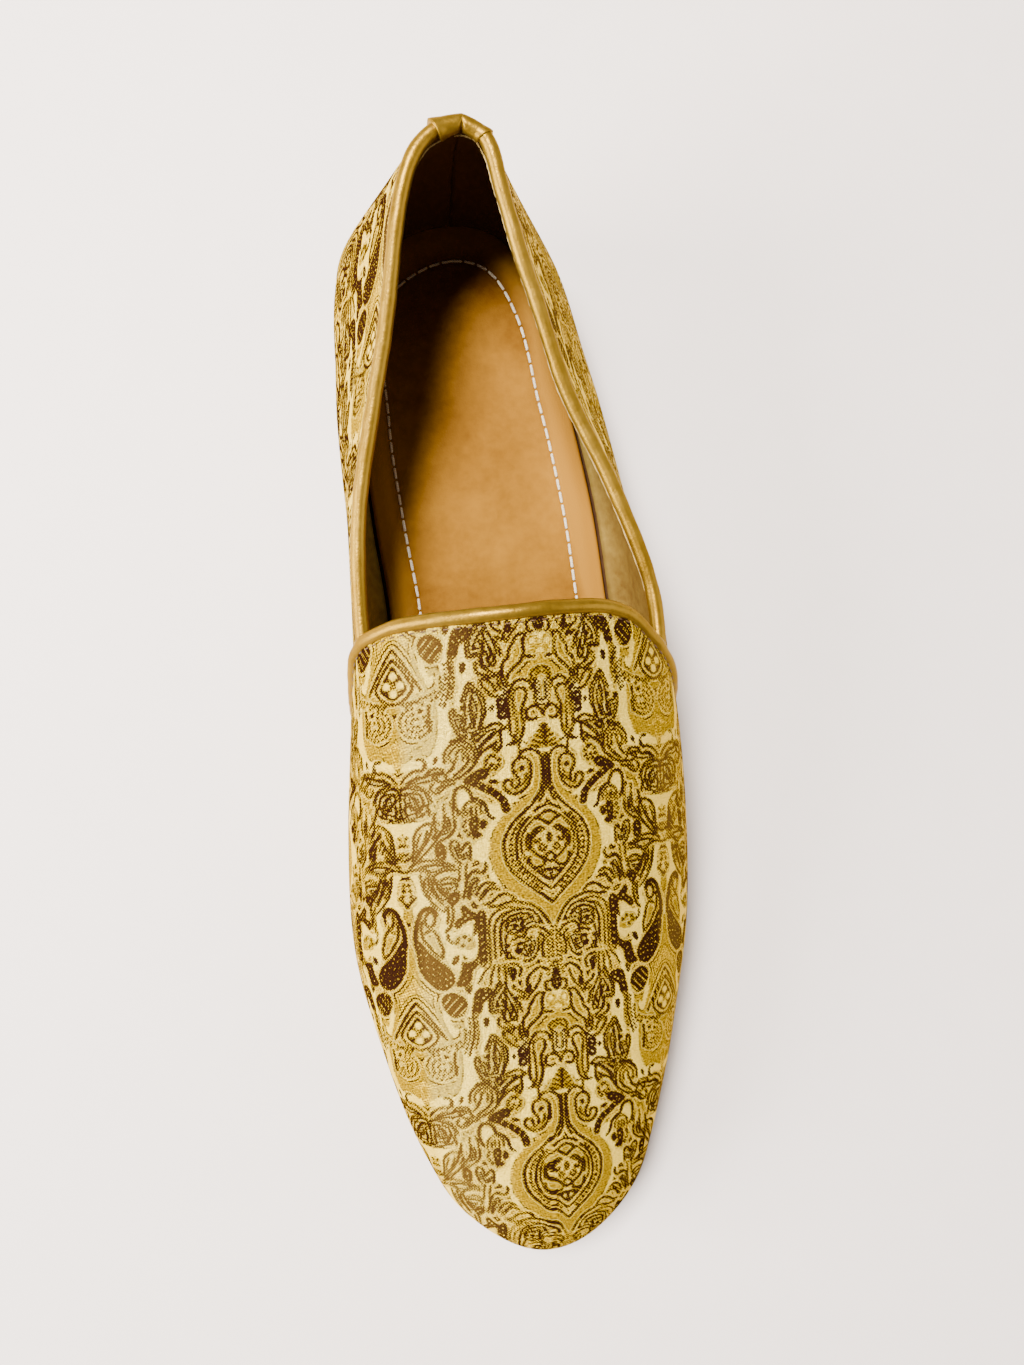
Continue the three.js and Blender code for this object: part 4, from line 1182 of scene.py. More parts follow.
cloth = Finish("brocade")
place = cloth.cloth()
across_cm, along_cm, _ = cloth.parts(place)
u, v = across_cm * MILLIMETRE_TURN, along_cm * MILLIMETRE_TURN
knots = (u * KNOT_GRID).sine() * (v * KNOT_GRID).sine()
twill = ((u + v * 0.5) * TWILL_GRID).sine() * ((v - u * 0.5) * TWILL_GRID).sine()
floats = cloth.noise(cloth.stretched(place, (2.5, 55.0, 1.0)), 1.0, 3.0)
flecks = cloth.noise(cloth.stretched(place, (13.0, 24.0, 1.0)), 1.0, 2.0)
flecks = ((flecks - 0.5) * 3.4 + 0.5).clamped()
fray = cloth.noise(cloth.stretched(place, (9.0, 30.0, 1.0)), 1.0, 2.0) - 0.5
ragged = cloth.noise(place, 9.0, 2.0) - 0.5

# %% Masks: 1 where the thread shows
edge = cloth.read("ink") + ragged * 0.4
# Dark lines, with small pale seeds left in the middle of the wider ones.
seeds = (0.3 - (u * SEED_GRID).sine() * (v * SEED_GRID).sine()).inside(0.2) * (edge + 0.6).inside(0.3)
lines = (edge - 0.07 + knots * 0.22).inside(0.15) * (1 - seeds * 0.9)
# The ground is plain satin here and there, and patterned ochre everywhere else.
figure = (cloth.read("plain") + fray * 0.6).inside(0.5) * -1 + 1
# Rows of dashes follow each line outside it, one row for each millimetre, and fade out.
echo = ((edge + 0.35).fraction() - 0.5).absolute() - 0.2 + twill * 0.13
echo = echo.inside(0.14) * (2.5 - edge).clamped() * (edge - 0.5).clamped() * 2.0 * figure
# Dotted areas are filled with rings of dots that follow their outline.
depth = cloth.read("stipple")
rings = ((depth / 1.1).fraction() - 0.5).absolute() * 1.1 - 0.24 - twill * 0.3
rings = rings.inside(0.18) * (depth - 0.1).inside(0.2)
gold = (cloth.read("gold") + fray * 1.4).inside(0.3)
ink = lines.larger(rings).larger(echo.clamped())
ink = ink * (1 - gold * 0.55 * (edge - 0.25).clamped() * 4.0).clamped()
# A painted highlight: a bright rim of satin along each dark line, as if the raised figures caught the
# light.
rim_highlight = ((edge - 0.46).absolute() - 0.07).inside(0.14) * (floats * 2.4 - 0.7).clamped()
# Where the painted sheen lies, across the cloth in centimetres: on the vamp's inner side it pales satin
# and ink, on its outer side and the outer quarter the ink alone.
inner = ((across_cm * -1 - 1.3) * 0.7).clamped() * ((across_cm + 3.7) * 3.0).clamped()
outer = ((across_cm - 2.9) * 3.0).clamped() * 0.42
pale = ((inner * 0.35).larger(outer) * (floats + 0.4)).clamped()

# %% Colour, gloss and relief of the brocade
satin = cloth.blend((floats * 0.6 + flecks * 0.4).clamped(), *SATIN)
ochre = cloth.blend((flecks * 0.8 + twill * 0.3).clamped(), *OCHRE)
mustard = cloth.blend((flecks + twill * 0.2).clamped(), *MUSTARD)
colour = cloth.blend(gold, cloth.blend(figure, satin, ochre), mustard)
# Painted sheen: paler satin down the vamp's inner side.
colour = cloth.blend(inner * floats * 0.4, colour, SHEEN)
# Painted highlight beside each dark line.
colour = cloth.blend(rim_highlight * 0.8, colour, RIM_HIGHLIGHT)
# The ink, paler where the painted sheen lies.
colour = cloth.blend(ink, colour, cloth.blend(pale, *INK_AND_SHEEN))
threads = (v * WEFT).sine() * 0.5 + (u * WARP).sine() * 0.35
relief = threads * 0.25 + flecks * 0.7 - ink + rim_highlight * 0.6 + figure * 0.4 + gold * 0.4
cloth.set(
    Base_Color=colour,
    Roughness=(0.26 + floats * 0.2 + ink * 0.2).clamped(),
    Metallic=(0.5 - ink * 0.5 - gold * 0.35).clamped(),
    Specular_IOR_Level=0.0,
    Specular_Tint=(0.95, 0.72, 0.30),
    Normal=cloth.bump(relief, RELIEF_DEPTH),
)
brocade = cloth.material
print("the brocade has", len(cloth.tree.nodes), "nodes")

# %% [markdown]
# ## Where a point of the shoe lies on the flat cloth
# The pattern has to follow the cloth, not the floor. The cloth lies straight along the foot, so a
# point's place across the cloth is the length of the wall's section from the crest down to it, and
# its place along the cloth is the length of the crest's profile from the throat. Both are sums of
# small steps, kept in a table of sections and read back for each point of the fine grids.

# %% Places on the cloth
CLOTH_AXIS, CLOTH_TURN = 5.7, 0.0185
BEHIND_THROAT, SECTION_STEPS, WALL_SAMPLES = 80, 260, 150

crest_profile = np.concatenate([
    last(turn_at(2, np.linspace(BEHIND_THROAT, CREST_ENDS[1] + 0.01, 400), 1), 2),
    last(np.pi, np.linspace(2, 0, 200))[1:],
])[:, 1:]
profile_length = run_length(crest_profile)
profile_length -= np.interp(-edge_medial(2.0), -crest_profile[:, 0], profile_length)


def top_level(y):
    """The highest level that reaches so far forward: the crest, or the toe's own profile."""
    levels = np.linspace(0, 2, 300)
    reach = last(np.pi, levels)[:, 1]
    return np.where(y > CREST_ENDS[1], 2.0, np.interp(y, reach, levels))


def section_lengths(side):
    """For each y, and each share of the wall from the crest down, the length of the section."""
    y = np.linspace(BEHIND_THROAT, -LENGTH / 2 + 0.2, SECTION_STEPS)
    level = mix(top_level(y)[:, None], -1.0, np.linspace(0, 1, WALL_SAMPLES))
    wall = last(turn_at(level, y[:, None], side), level)
    return y, wall[:, 0, 0], run_length(wall[..., [0, 2]], axis=1)


SECTION_TABLES = {side: section_lengths(side) for side in (-1, 1)}


def read_grid(grid, row, column):
    """The value between four neighbours of a grid."""
    row, column = np.clip(row, 0, grid.shape[0] - 1.001), np.clip(column, 0, grid.shape[1] - 1.001)
    i, j = row.astype(int), column.astype(int)
    near = mix(grid[i, j], grid[i, j + 1], column - j)
    return mix(near, mix(grid[i + 1, j], grid[i + 1, j + 1], column - j), row - i)


def on_cloth(turn, level):
    """Across (from the pattern's middle, plus to the outer side) and along the cloth, in mm."""
    y = last(turn, level)[..., 1]
    top = top_level(y)
    share = np.clip((top - level) / (top + 1), 0, 1)
    across = np.zeros_like(y)
    for side, (rows, x, lengths) in SECTION_TABLES.items():
        row = (rows[0] - y) / (rows[0] - rows[-1]) * (len(rows) - 1)
        length = read_grid(lengths, row, share * (WALL_SAMPLES - 1))
        here = (np.sin(turn) < 0) == (side < 0)
        across = np.where(here, np.interp(-y, -rows, x) + side * length, across)
    along = np.interp(-y, -crest_profile[:, 0], profile_length)
    return across - CLOTH_AXIS + CLOTH_TURN * along, along


# %% [markdown]
# ## Vamp, quarters and lining
# A shoemaker cuts the vamp and the two quarters flat, lasts them and sews binding over the edge.
# Here each one is a shell: the last moved out a little, the same moved in, and rims between. The
# vamp lies over the quarters, so it stands proud of them, and thins out under its binding. Its
# rows close along the crest, where a turn and its mirror image meet.

# %% Shells on the last
PATH_SAMPLES, BACK_SEAM = 2001, 0.0006


def edge_turn(level, side, back=0.0):
    """The turn of the vamp's edge at a level, or of a line so far back from it."""
    edge = edge_lateral if side > 0 else edge_medial
    return turn_at(level, edge(level) + back, side)


def even_shares(count, start, end, level):
    """Shares of the way from one turn to another that step evenly along that level."""
    share = np.linspace(0, 1, PATH_SAMPLES)
    length = run_length(last(mix(start, end, share), level))
    return np.interp(np.linspace(0, length[-1], count), length, share)


def around_toe(levels, count, back=0.0):
    """Turns from the vamp's outer edge round the toe to its inner edge, a row for each level. The
    shares are made even with their mirror image, so that both sides of the crest meet."""
    start = edge_turn(levels, 1, back)
    end = 2 * np.pi + edge_turn(levels, -1, back)
    share = even_shares(count, start[-1], end[-1], 1.2)
    return mix(start[:, None], end[:, None], (share + 1 - share[::-1]) / 2)


def along_quarter(levels, count, side, front):
    """Turns from the back seam to a line in front of the vamp's edge, a row for each level."""
    start, end = side * BACK_SEAM, edge_turn(levels, side, front)
    return mix(start, end[:, None], even_shares(count, start, end[-1], 0.8))


def quarter_levels(rows, top=1.0):
    """Levels from the sole to the top, a fifth of them below the widest line."""
    low = rows // 5
    return np.concatenate([np.linspace(-1, 0, low + 1)[:-1], np.linspace(0, top, rows - low)])


def wall_piece(name, levels, turns, outer, inner, material, side=1, step=1, folded=False):
    """A shell between two distances from the last, turned so that its faces point outwards. The
    inner grid has a point at every step. Gives the piece and the numbers of the points used."""
    grids = [off_last(turns, levels[:, None], far)[:, ::side] for far in (outer, inner)]
    points, faces, used = shell(grids[0], grids[1][::step, ::step], step, folded)
    return piece(name, points, faces, material), used


def on_both(grid, step, used):
    """A grid's numbers for a shell's points: all of them outside, every step-th one inside."""
    return np.concatenate([grid.ravel(), grid[::step, ::step].ravel()])[used]


# %% The vamp
VAMP_COLUMNS, CLOTH_STEP = 689, 8
VAMP_PROUD, VAMP_EDGE_PROUD, VAMP_INSIDE, VAMP_EDGE_INSIDE, SKIVE = 0.6, 0.1, -1.0, 0.05, 7.0
VAMP_LEVELS = np.concatenate([
    np.linspace(-1, 0, 25)[:-1], np.linspace(0, 1, 41)[:-1], np.linspace(1, 2, 73),
])
vamp_turns = around_toe(VAMP_LEVELS, VAMP_COLUMNS)
from_start = run_length(last(vamp_turns, VAMP_LEVELS[:, None]), axis=1)
skive = smoothstep(np.minimum(from_start, from_start[:, -1:] - from_start), 0, SKIVE)
vamp, used = wall_piece(
    "vamp", VAMP_LEVELS, vamp_turns, mix(VAMP_EDGE_PROUD, VAMP_PROUD, skive),
    mix(VAMP_EDGE_INSIDE, VAMP_INSIDE, skive), brocade, step=CLOTH_STEP, folded=True,
)
weave(vamp, *(on_both(grid, CLOTH_STEP, used) for grid in on_cloth(vamp_turns, VAMP_LEVELS[:, None])))
fit(vamp, "brocade", "upper")

# %% The quarters, which meet at the back seam
QUARTER_ROWS, QUARTER_COLUMNS, QUARTER_UNDER, QUARTER_INSIDE = 137, 385, -4.0, -1.0
QUARTER_CLOTH_SHIFT, INNER_SPREAD = 31.0, 0.1
levels = quarter_levels(QUARTER_ROWS)
for side, name in ((-1, "quarter_medial"), (1, "quarter_lateral")):
    turns = along_quarter(levels, QUARTER_COLUMNS, side, QUARTER_UNDER)
    quarter, used = wall_piece(name, levels, turns, 0.0, QUARTER_INSIDE, brocade, side, CLOTH_STEP)
    # The cloth hangs from the top line: across it is the way down, along it the way to the front.
    wall = last(turns, levels[:, None])
    below = run_length(wall[::-1])[::-1]
    ahead = run_length(wall[-1])
    places = side * (QUARTER_CLOTH_SHIFT + below), np.broadcast_to(ahead - ahead[-1], below.shape)
    across, along = (on_both(grid[:, ::side], CLOTH_STEP, used) for grid in places)
    # The inner quarter gets wider dark threads, so it is darker than the outer one.
    weave(quarter, across, along, INNER_SPREAD if side < 0 else 0.0)
    fit(quarter, "brocade")

# %% The linings, padded at the heel, with a raised seam
LINING_ROWS, LINING_COLUMNS, VAMP_LINING_COLUMNS = 40, 150, 141
LINING_TOP, LINING_OUT, LINING_GAP, VAMP_LINING_GAP = 0.955, -1.25, 0.15, -1.75
PADDING, PADDED_TURN, PADDED_TOP, PADDED_SOFT = 2.4, 0.5, 0.55, 0.7
SEAM_RISE, HEEL_SEAM, SEAM_WIDTH = 0.22, -0.16, 0.012
levels = quarter_levels(LINING_ROWS, LINING_TOP)
padded = smoothstep(PADDED_TOP - levels, 0, PADDED_SOFT)[:, None]
for side, name in ((-1, "lining_medial"), (1, "lining_lateral")):
    turns = along_quarter(levels, LINING_COLUMNS, side, LINING_GAP)
    padding = PADDING * padded * np.exp(-((turns / PADDED_TURN) ** 2))
    seam = SEAM_RISE * np.exp(-(((turns - HEEL_SEAM) / SEAM_WIDTH) ** 2))
    inside = seam - padding - WALL
    lining, _ = wall_piece(name, levels, turns, LINING_OUT, inside, lining_leather, side)
    fit(lining, "gold_leather")
levels = np.concatenate([np.linspace(-1, 0, 6)[:-1], np.linspace(0, 2, 31)])
turns = around_toe(levels, VAMP_LINING_COLUMNS, VAMP_LINING_GAP)
vamp_lining, _ = wall_piece(
    "vamp_lining", levels, turns, LINING_OUT, -WALL, lining_leather, folded=True
)
fit(vamp_lining, "gold_leather")

# %% [markdown]
# ## Bindings and heel tab
# A binding is a strip of leather sewn along the edge, turned over it and glued down, so it ends up
# as a soft roll. A curve with a bevel would give a plain pipe. Here the roll is a sweep of a
# section that is round above and flat where it lies on the quarters, with a slow unevenness where
# the leather was pulled by hand.

# %% Rolled bindings
ROLL_SIDES, OPEN_BELOW = 28, -9.0
rng = np.random.default_rng(7)


def slow_waves(count, waves, size):
    """A gentle unevenness along a path: a sum of a few sines with random phases."""
    along = np.linspace(0, 1, count)
    phases = rng.uniform(0, 2 * np.pi, len(waves))
    return size * sum(np.sin(2 * np.pi * wave * along + phase) for wave, phase in zip(waves, phases))


def roll(name, turn, level, off, floor, radius, material):
    """A roll along places on the last: a circle in the plane across the path (the middle plus the
    radius times a cosine sideways and a sine upwards), whose underside is cut off at a floor."""
    _, level, off, floor, radius = np.broadcast_arrays(turn, level, off, floor, radius)
    middle = off_last(turn, level, off)
    ahead = unit(np.gradient(middle, axis=0))
    side = unit(np.cross(normal(turn, level), ahead))
    up = np.cross(ahead, side)
    angle = np.linspace(0, 2 * np.pi, ROLL_SIDES, endpoint=False)[None]
    rise = np.maximum(radius[:, None] * np.sin(angle), (floor - off)[:, None])
    reach = radius[:, None] * np.cos(angle)
    sections = middle[:, None] + reach[..., None] * side[:, None] + rise[..., None] * up[:, None]
    return piece(name, *tube(sections), material)


# %% The collar's roll, which is pressed thinner under the heel tab
COLLAR_COUNT = 430
ROLL_PRESSED, PRESSED_MIDDLE, PRESSED_TURN, PRESSED_SOFT = 0.5, 0.028, 0.2, 0.07
collar_ends = [edge_turn(np.array([1.0]), side)[0] for side in (-1, 1)]
collar_turn = mix(*collar_ends, even_shares(COLLAR_COUNT, *collar_ends, 1.0))
from_tab = np.abs(collar_turn - PRESSED_MIDDLE)
pressed = ROLL_PRESSED * (1 - smoothstep(from_tab, PRESSED_TURN - PRESSED_SOFT, PRESSED_TURN))
collar_radius = BINDING_RADIUS - pressed + slow_waves(COLLAR_COUNT, (9, 17, 31), 0.035)
collar_binding = roll(
    "collar_roll", collar_turn, 1.0, -WALL / 2, OPEN_BELOW, collar_radius, gold_leather
)
fit(collar_binding, "gold_leather", "collar_binding")

# %% The throat's roll, up the inner side, over the crest and down the outer side
HALF_COUNT, BINDING_FOOT, SIDE_BINDING_TOP = 240, -0.8, 0.75
OFF_ON_SIDE, OFF_ON_RIM, FLOOR_ON_SIDE = -0.2, -0.75, 0.15
half_level = np.linspace(BINDING_FOOT, 2, HALF_COUNT)
throat_level = np.concatenate([half_level, half_level[-2::-1]])
throat_turn = np.concatenate([edge_turn(half_level, -1), edge_turn(half_level, 1)[-2::-1]])
on_rim = smoothstep(throat_level, SIDE_BINDING_TOP, 1)
throat_binding = roll(
    "throat_roll", throat_turn, throat_level, mix(OFF_ON_SIDE, OFF_ON_RIM, on_rim),
    mix(FLOOR_ON_SIDE, OPEN_BELOW, on_rim),
    BINDING_RADIUS + slow_waves(len(throat_level), (7, 15, 29), 0.03), gold_leather,
)
fit(throat_binding, "gold_leather", "throat_binding")

# %% [markdown]
# The heel tab is a strip folded over the roll at the back. It could be a bent plate, but it keeps
# a sharp little crease in the middle, where the collar turns round the heel, and is pulled nearly
# straight between the crease and its ends. So its two faces are arcs about the roll, a row for
# each place along the strip, and the crease moves the arcs in and down.

# %% Heel tab
TAB_MIDDLE, TAB_HALF, TAB_COLUMNS, TAB_FOOT_LEVEL = 0.043, 0.193, 161, 0.82
TAB_THICKNESS, TAB_DROP, TAB_PULL, TAB_CLEAR, TAB_GAP = 0.5, 0.5, 0.75, 0.15, 0.12
TAB_PROUD, INNER_PROUD, END_SHARE, TAB_ARC = 0.3, 0.6, 0.35, 33
CREASE_TURN, CREASE_DEPTH, CREASE_WIDTH = 0.022, 1.0, 0.013
UPWARDS = np.array([0, 0, 1.0])
tab_turn = np.linspace(TAB_MIDDLE - TAB_HALF, TAB_MIDDLE + TAB_HALF, TAB_COLUMNS)
crease = CREASE_DEPTH * np.exp(-np.abs((tab_turn - CREASE_TURN) / CREASE_WIDTH))
from_end = (TAB_HALF - np.abs(tab_turn - TAB_MIDDLE)) / TAB_HALF
proud = TAB_PROUD * (1 - smoothstep(from_end, 0, END_SHARE))
proud += INNER_PROUD * np.maximum(CREASE_TURN - tab_turn, 0) / (CREASE_TURN - tab_turn[0])
out = unit(normal(tab_turn, 1.0) * [1, 1, 0])
fixed_turns = np.array([tab_turn[0], CREASE_TURN, tab_turn[-1]])
straight = np.stack([
    np.interp(tab_turn, fixed_turns, axis) for axis in off_last(fixed_turns, 1.0, -WALL / 2).T
], -1)
hub = mix(off_last(tab_turn, 1.0, -WALL / 2), straight, TAB_PULL)
tab_drop = TAB_DROP + slow_waves(TAB_COLUMNS, (3, 7, 13), 0.1)


def tab_face(thickness):
    """One face of the tab's section: from outside the heel, over the roll as an arc (the hub plus
    the reach times a cosine outwards and times a sine upwards), and down inside."""
    reach = BINDING_RADIUS - ROLL_PRESSED + TAB_GAP + thickness + proud
    arc = [
        hub + out * (reach * np.cos(a) + crease * 0.9 * max(-np.cos(a), 0))[..., None]
        + UPWARDS * (reach * np.sin(a) - crease * 0.5 * np.sin(a / 2) ** 2)[..., None]
        for a in np.linspace(0, np.pi, TAB_ARC)
    ]
    foot = off_last(tab_turn, TAB_FOOT_LEVEL, TAB_CLEAR + thickness)
    inside = arc[-1] - UPWARDS * tab_drop[..., None]
    rise = [mix(foot, arc[0], share) for share in np.linspace(0, 1, 8)[:-1]]
    fall = [mix(arc[-1], inside, share) for share in np.linspace(0, 1, 5)[1:]]
    return np.stack(rise + arc + fall, 1)


tab_sections = np.concatenate([tab_face(TAB_THICKNESS), tab_face(0.0)[:, ::-1]], axis=1)
tab = piece("heel_sleeve", *tube(tab_sections), gold_leather)
fit(tab, "gold_leather", "heel_tab")

# %% The lining's raw edge, which shows as a pale line just under the roll
EDGE_LEVEL, EDGE_OFF, EDGE_RADIUS, EDGE_COUNT = 0.93, -1.0, 0.19, 320
for side, start, name in ((-1, -0.06, "raw_edge_medial"), (1, -0.03, "raw_edge_lateral")):
    turns = np.linspace(start, edge_turn(np.array([EDGE_LEVEL]), side)[0], EDGE_COUNT)
    offs = EDGE_OFF - WALL + slow_waves(EDGE_COUNT, (5, 9), 0.06)
    levels = EDGE_LEVEL + slow_waves(EDGE_COUNT, (4, 7), 0.002)
    radius = EDGE_RADIUS + slow_waves(EDGE_COUNT, (31, 57), 0.04)
    fit(roll(name, turns, levels, offs, OPEN_BELOW, radius, raw_edge), "gold_leather")

# %% [markdown]
# ## Sole, heel and insole
# These could be cut from flat boards, but a sole follows the last. So they are rings of the
# upper's feather line, where the upper meets the sole, moved in or out and piled up. The insole is
# leather over thin foam, so it swells a little between its stitched line and its edge. The sole
# and the heel are plain, as on any such shoe.

# %% Rings at the foot of the upper
SOLE_MARGIN, MIDDLE_SHARE = 0.8, 0.86
HEEL_DRAW, HEEL_DRAW_WIDTH = 2.6, 0.28
RING_TURNS = np.linspace(0, 2 * np.pi, 420, endpoint=False)


def foot_ring(inset):
    """The feather line moved in, as places in plan. Round the heel it moves in a little more."""
    at_heel = np.exp(-((np.sin(RING_TURNS / 2) / HEEL_DRAW_WIDTH) ** 2))
    extra = HEEL_DRAW * smoothstep(inset, 3, 10) * at_heel
    return last(RING_TURNS, -1.0)[:, :2] + inwards(RING_TURNS) * (inset + extra)[:, None]


def pile(rows):
    """Rings from rows of an inset, a share of the way to the middle line, and a height above the
    sole's lower face."""
    rings = []
    for inset, share, lift in rows:
        ring = foot_ring(inset)
        middle = (ring + ring[(-np.arange(len(ring))) % len(ring)]) / 2
        middle[:, 1] *= MIDDLE_SHARE
        plan = mix(ring, middle, share)
        rings.append(np.column_stack([plan, sole_height(plan[:, 1]) + lift]))
    return np.stack(rings)


# %% The sole, with rounded edges above and below
SOLE_TOP = SOLE_THICKNESS - 0.1
below = [(0.1, 1, 0), (0.1, 0.5, 0), (0.1, 0, 0), (-0.5, 0, 0.2), (-SOLE_MARGIN, 0, 0.9)]
above = [(inset, share, SOLE_TOP - lift) for inset, share, lift in reversed(below)]
sole_points, sole_faces, _ = stack(pile(below + above))
outsole = piece("leather_sole", sole_points, sole_faces, sole_leather)
fit(outsole, "sole_leather", "outsole")

# %% Insole, with the channel of its stitched line
STITCH_INSET, CHANNEL, CHANNEL_WIDTH, INSOLE_INSET, MIDDLE_INSET = 11.0, 0.35, 0.7, 2.35, 22
CUSHION, CUSHION_INSET, CUSHION_WIDTH, FOAM = 0.5, 6.5, 2.6, 0.25
insole_top = SOLE_THICKNESS + INSOLE_THICKNESS


def swell(inset):
    """How high the insole's face stands over its flat height, at an inset from the feather line:
    a cushion near the edge, a channel under the stitches, and foam in the middle."""
    channel = CHANNEL * np.exp(-(((inset - STITCH_INSET) / CHANNEL_WIDTH) ** 2))
    cushion = CUSHION * np.exp(-(((inset - CUSHION_INSET) / CUSHION_WIDTH) ** 2))
    return cushion + FOAM * smoothstep(inset, 12, MIDDLE_INSET) - channel


face_insets = [*np.linspace(INSOLE_INSET + 0.8, 9, 10), *np.linspace(9.3, 13, 14), 15, 18, MIDDLE_INSET]
insole_rows = [
    (INSOLE_INSET, 1, SOLE_THICKNESS + 0.05),
    (INSOLE_INSET, 0, SOLE_THICKNESS + 0.05),
    (INSOLE_INSET, 0, insole_top - 0.8),
    (INSOLE_INSET + 0.25, 0, insole_top - 0.3),
    *((inset, 0, insole_top + swell(inset)) for inset in face_insets),
    (MIDDLE_INSET, 0.5, insole_top + FOAM),
    (MIDDLE_INSET, 1, insole_top + FOAM),
]
insole_points, insole_faces, used = stack(pile(insole_rows))
insole = piece("sock", insole_points, insole_faces, insole_leather)
insets = [MIDDLE_INSET if share else inset for inset, share, _ in insole_rows]
attribute(insole, "inset", np.repeat(insets, len(RING_TURNS))[used])
fit(insole, "insole_leather", "insole")

# %% [markdown]
# A stitch is a short round thread that dives at both ends. Thousands of instances would suit a
# machine-sewn coat; here a few hundred capsules in one mesh are enough. The white ones run round
# the insole, in its channel. Small dark ones hold the throat's binding, just in front of its edge.

# %% Stitches
THREAD_SIDES, CAP_ROUNDS, CAP_TIP = 8, 5, 0.02


def capsules(starts, ends, radius):
    """Threads between pairs of points, as one mesh: a tube whose ends close as half spheres."""
    way = unit(ends - starts)
    across = unit(np.cross(way, UPWARDS))
    lift = np.cross(across, way)
    half = np.linspace(0, np.pi / 2, CAP_ROUNDS)
    thick = np.concatenate([np.sin(half), np.cos(half)])[:, None] + CAP_TIP
    reach = np.concatenate([-np.cos(half), np.sin(half)]) * radius
    base = np.repeat([0, 1], CAP_ROUNDS)
    along = base[None] * np.linalg.norm(ends - starts, axis=-1)[:, None] + reach[None]
    angle = np.linspace(0, 2 * np.pi, THREAD_SIDES, endpoint=False)[None, None, :, None]
    round_way = np.cos(angle) * across[:, None, None] + np.sin(angle) * lift[:, None, None]
    ring = (
        starts[:, None, None] + along[..., None, None] * way[:, None, None]
        + radius * thick[None, :, :, None] * round_way
    )
    points, faces = [], []
    for sections in ring:
        one, corners = tube(sections)
        faces += [[corner + len(points) * len(one) for corner in face] for face in corners]
        points.append(one)
    return np.concatenate(points), faces


def stitches(name, path, pitch, length, start, radius, material):
    """A row of stitches along a path, one at each pitch."""
    first = np.arange(start, run_length(path)[-1] - length, pitch)
    return piece(name, *capsules(walk(path, first), walk(path, first + length), radius), material)


CHANNEL_LIFT = 0.22
sewn = foot_ring(STITCH_INSET)
sewn = np.column_stack([sewn, sole_height(sewn[:, 1]) + insole_top - CHANNEL + CHANNEL_LIFT])
sewn = np.concatenate([sewn, sewn[:1]])
sock_stitches = stitches(
    "sock_stitches", sewn, pitch=3.8, length=2.5, start=0.0, radius=0.4, material=white_thread
)
fit(sock_stitches, "insole_leather")

SIDE_STITCH_LEVEL, BESIDE_EDGE, STITCH_PROUD = 0.2, -2.3, 0.42
edge_levels = np.linspace(SIDE_STITCH_LEVEL, 2, 300)
inner_path, outer_path = (
    off_last(edge_turn(edge_levels, side, BESIDE_EDGE), edge_levels, STITCH_PROUD) for side in (-1, 1)
)
throat_path = np.concatenate([inner_path, outer_path[-2::-1]])
edge_stitches = stitches(
    "throat_stitches", throat_path, pitch=3.0, length=1.1, start=0.5, radius=0.17, material=brown_thread
)
fit(edge_stitches, "brocade")

# %% The heel, a stack of lifts with small grooves between them
HEEL_TAPER, HEEL_INSET, HEEL_BREAST, BREAST_RADIUS = 2.5, 0.6, 78.0, 130.0
LIFTS, FOOT_BEVEL, LIFT_BEVEL, LIFT_GROOVE = 4, 0.3, 0.18, 0.14
HEEL_REACH, HEEL_POINTS, BREAST_POINTS = 1.05, 150, 40
heel_turn = np.linspace(-HEEL_REACH, HEEL_REACH, 161)


def breast(x):
    """The arc that cuts the heel off in front, as a place along Y for each x."""
    return HEEL_BREAST - BREAST_RADIUS + np.sqrt(BREAST_RADIUS**2 - x**2)


def heel_section(height, inset):
    """The sole's outline behind the breast, and the breast's arc closing it, at one height."""
    plan = last(heel_turn, -1.0)[:, :2] + inwards(heel_turn) * (inset - SOLE_MARGIN)
    plan = plan[plan[:, 1] > breast(plan[:, 0])]
    plan = walk(plan, np.linspace(0, run_length(plan)[-1], HEEL_POINTS))
    x = np.linspace(plan[-1, 0], plan[0, 0], BREAST_POINTS + 2)[1:-1]
    plan = np.concatenate([plan, np.stack([x, breast(x)], -1)])
    return np.column_stack([plan, np.full(len(plan), height)])


heel_rows = [(0.0, 0.35), (FOOT_BEVEL, 0.05)]
lift_heights = np.linspace(FOOT_BEVEL, HEEL_HEIGHT - 0.1, LIFTS + 1)
for low, high in zip(lift_heights[:-1], lift_heights[1:]):
    heel_rows += [(low + LIFT_BEVEL, 0.0), (high - LIFT_BEVEL, 0.0), (high, LIFT_GROOVE)]
heel_sections = np.stack([
    heel_section(height, mix(HEEL_TAPER, HEEL_INSET, height / HEEL_HEIGHT) + groove)
    for height, groove in heel_rows
])
heel = piece("stacked_heel", *tube(heel_sections), sole_leather)
fit(heel, "heel_stack", "heel")

# %% [markdown]
# ## Floor, light and camera
# The shoe stands on a pale floor. One high soft light comes from the inner side and the heel, as
# daylight from a window. A low one on the inner side draws the sheen along the vamp, a weak wide
# one on the outer side fills the shade there, and the room gives the rest. The camera hangs nearly
# straight over the shoe, close by, so that the collar looms larger than the toe.

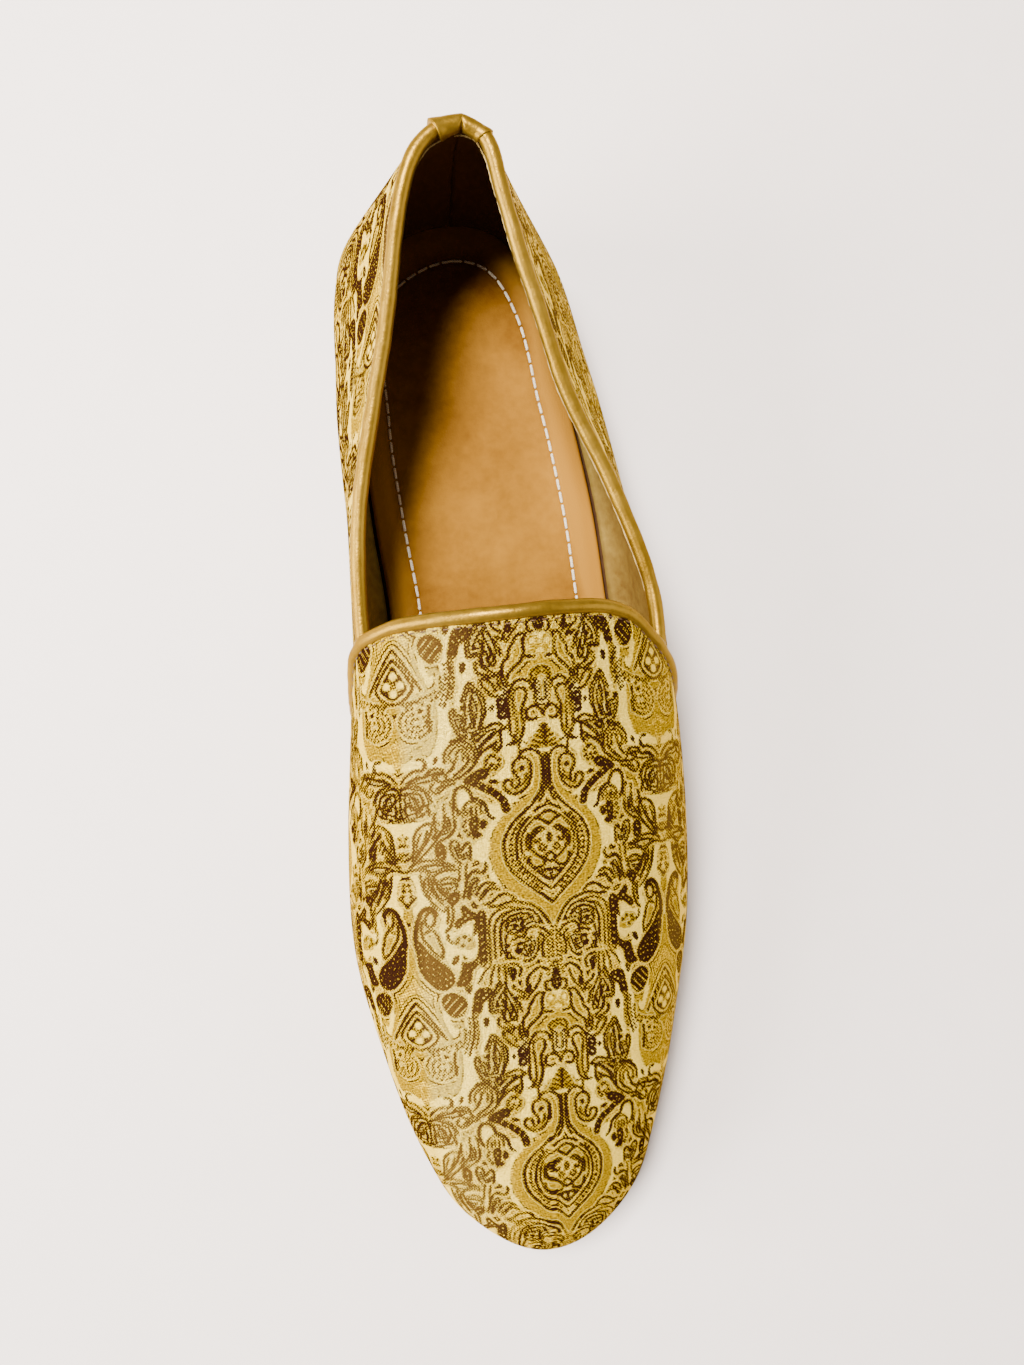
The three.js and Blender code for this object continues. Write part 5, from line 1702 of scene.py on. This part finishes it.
# %% Floor
floor_finish = Finish("floor")
grain = floor_finish.noise(floor_finish.place(), 60.0, 3.0)
floor_finish.set(
    Base_Color=floor_finish.blend(grain, (0.82, 0.73, 0.685), (0.86, 0.77, 0.725)),
    Roughness=0.6,
    Normal=floor_finish.bump(grain, 0.0002, 0.2),
)
bpy.ops.mesh.primitive_plane_add(size=8.0)
floor = bpy.context.object
floor.name = "floor"
floor.data.materials.append(floor_finish.material)


# %% Light
def area_light(name, place, target, size, power, colour):
    """A square soft light at a place, facing a target."""
    lamp = bpy.data.lights.new(name, "AREA")
    lamp.shape, lamp.size, lamp.energy, lamp.color = "SQUARE", size, power, colour
    thing = bpy.data.objects.new(name, lamp)
    thing.location = place
    thing.rotation_euler = (Vector(target) - Vector(place)).to_track_quat("-Z", "Y").to_euler()
    bpy.context.scene.collection.objects.link(thing)


area_light("window", (-0.36, 0.42, 1.16), (0, 0, 0.03), 0.36, 62.0, (1.0, 0.96, 0.91))
area_light("right panel", (1.2, -0.2, 0.5), (0, 0, 0.02), 1.0, 11.0, (1.0, 0.95, 0.9))
area_light("left panel", (-1.1, -0.12, 0.46), (0, -0.02, 0.02), 0.8, 51.0, (1.0, 0.97, 0.93))
world = bpy.data.worlds.new("room")
world.use_nodes = True
room = world.node_tree.nodes["Background"].inputs
room["Color"].default_value, room["Strength"].default_value = (0.96, 0.91, 0.89, 1), 0.15
bpy.context.scene.world = world

# %% Camera
CAMERA_PLACE = Vector((-0.02655, 0.0024, 0.31261))
CAMERA_TARGET = Vector((0.0034, 0.0105, 0.020))
CAMERA_ROLL, FILM_HEIGHT, LENS = -5.98, 36.0, 27.033
camera_data = bpy.data.cameras.new("camera")
camera_data.sensor_fit = "VERTICAL"
camera_data.sensor_height, camera_data.lens = FILM_HEIGHT, LENS
camera = bpy.data.objects.new("camera", camera_data)
look = (CAMERA_PLACE - CAMERA_TARGET).normalized()
level = Vector((0, 1, 0)).cross(look).normalized()
axes = Matrix((level, look.cross(level), look)).transposed()
camera.matrix_world = Matrix.Translation(CAMERA_PLACE) @ (
    axes @ Matrix.Rotation(np.radians(CAMERA_ROLL), 3, "Z")
).to_4x4()
bpy.context.scene.collection.objects.link(camera)
bpy.context.scene.camera = camera
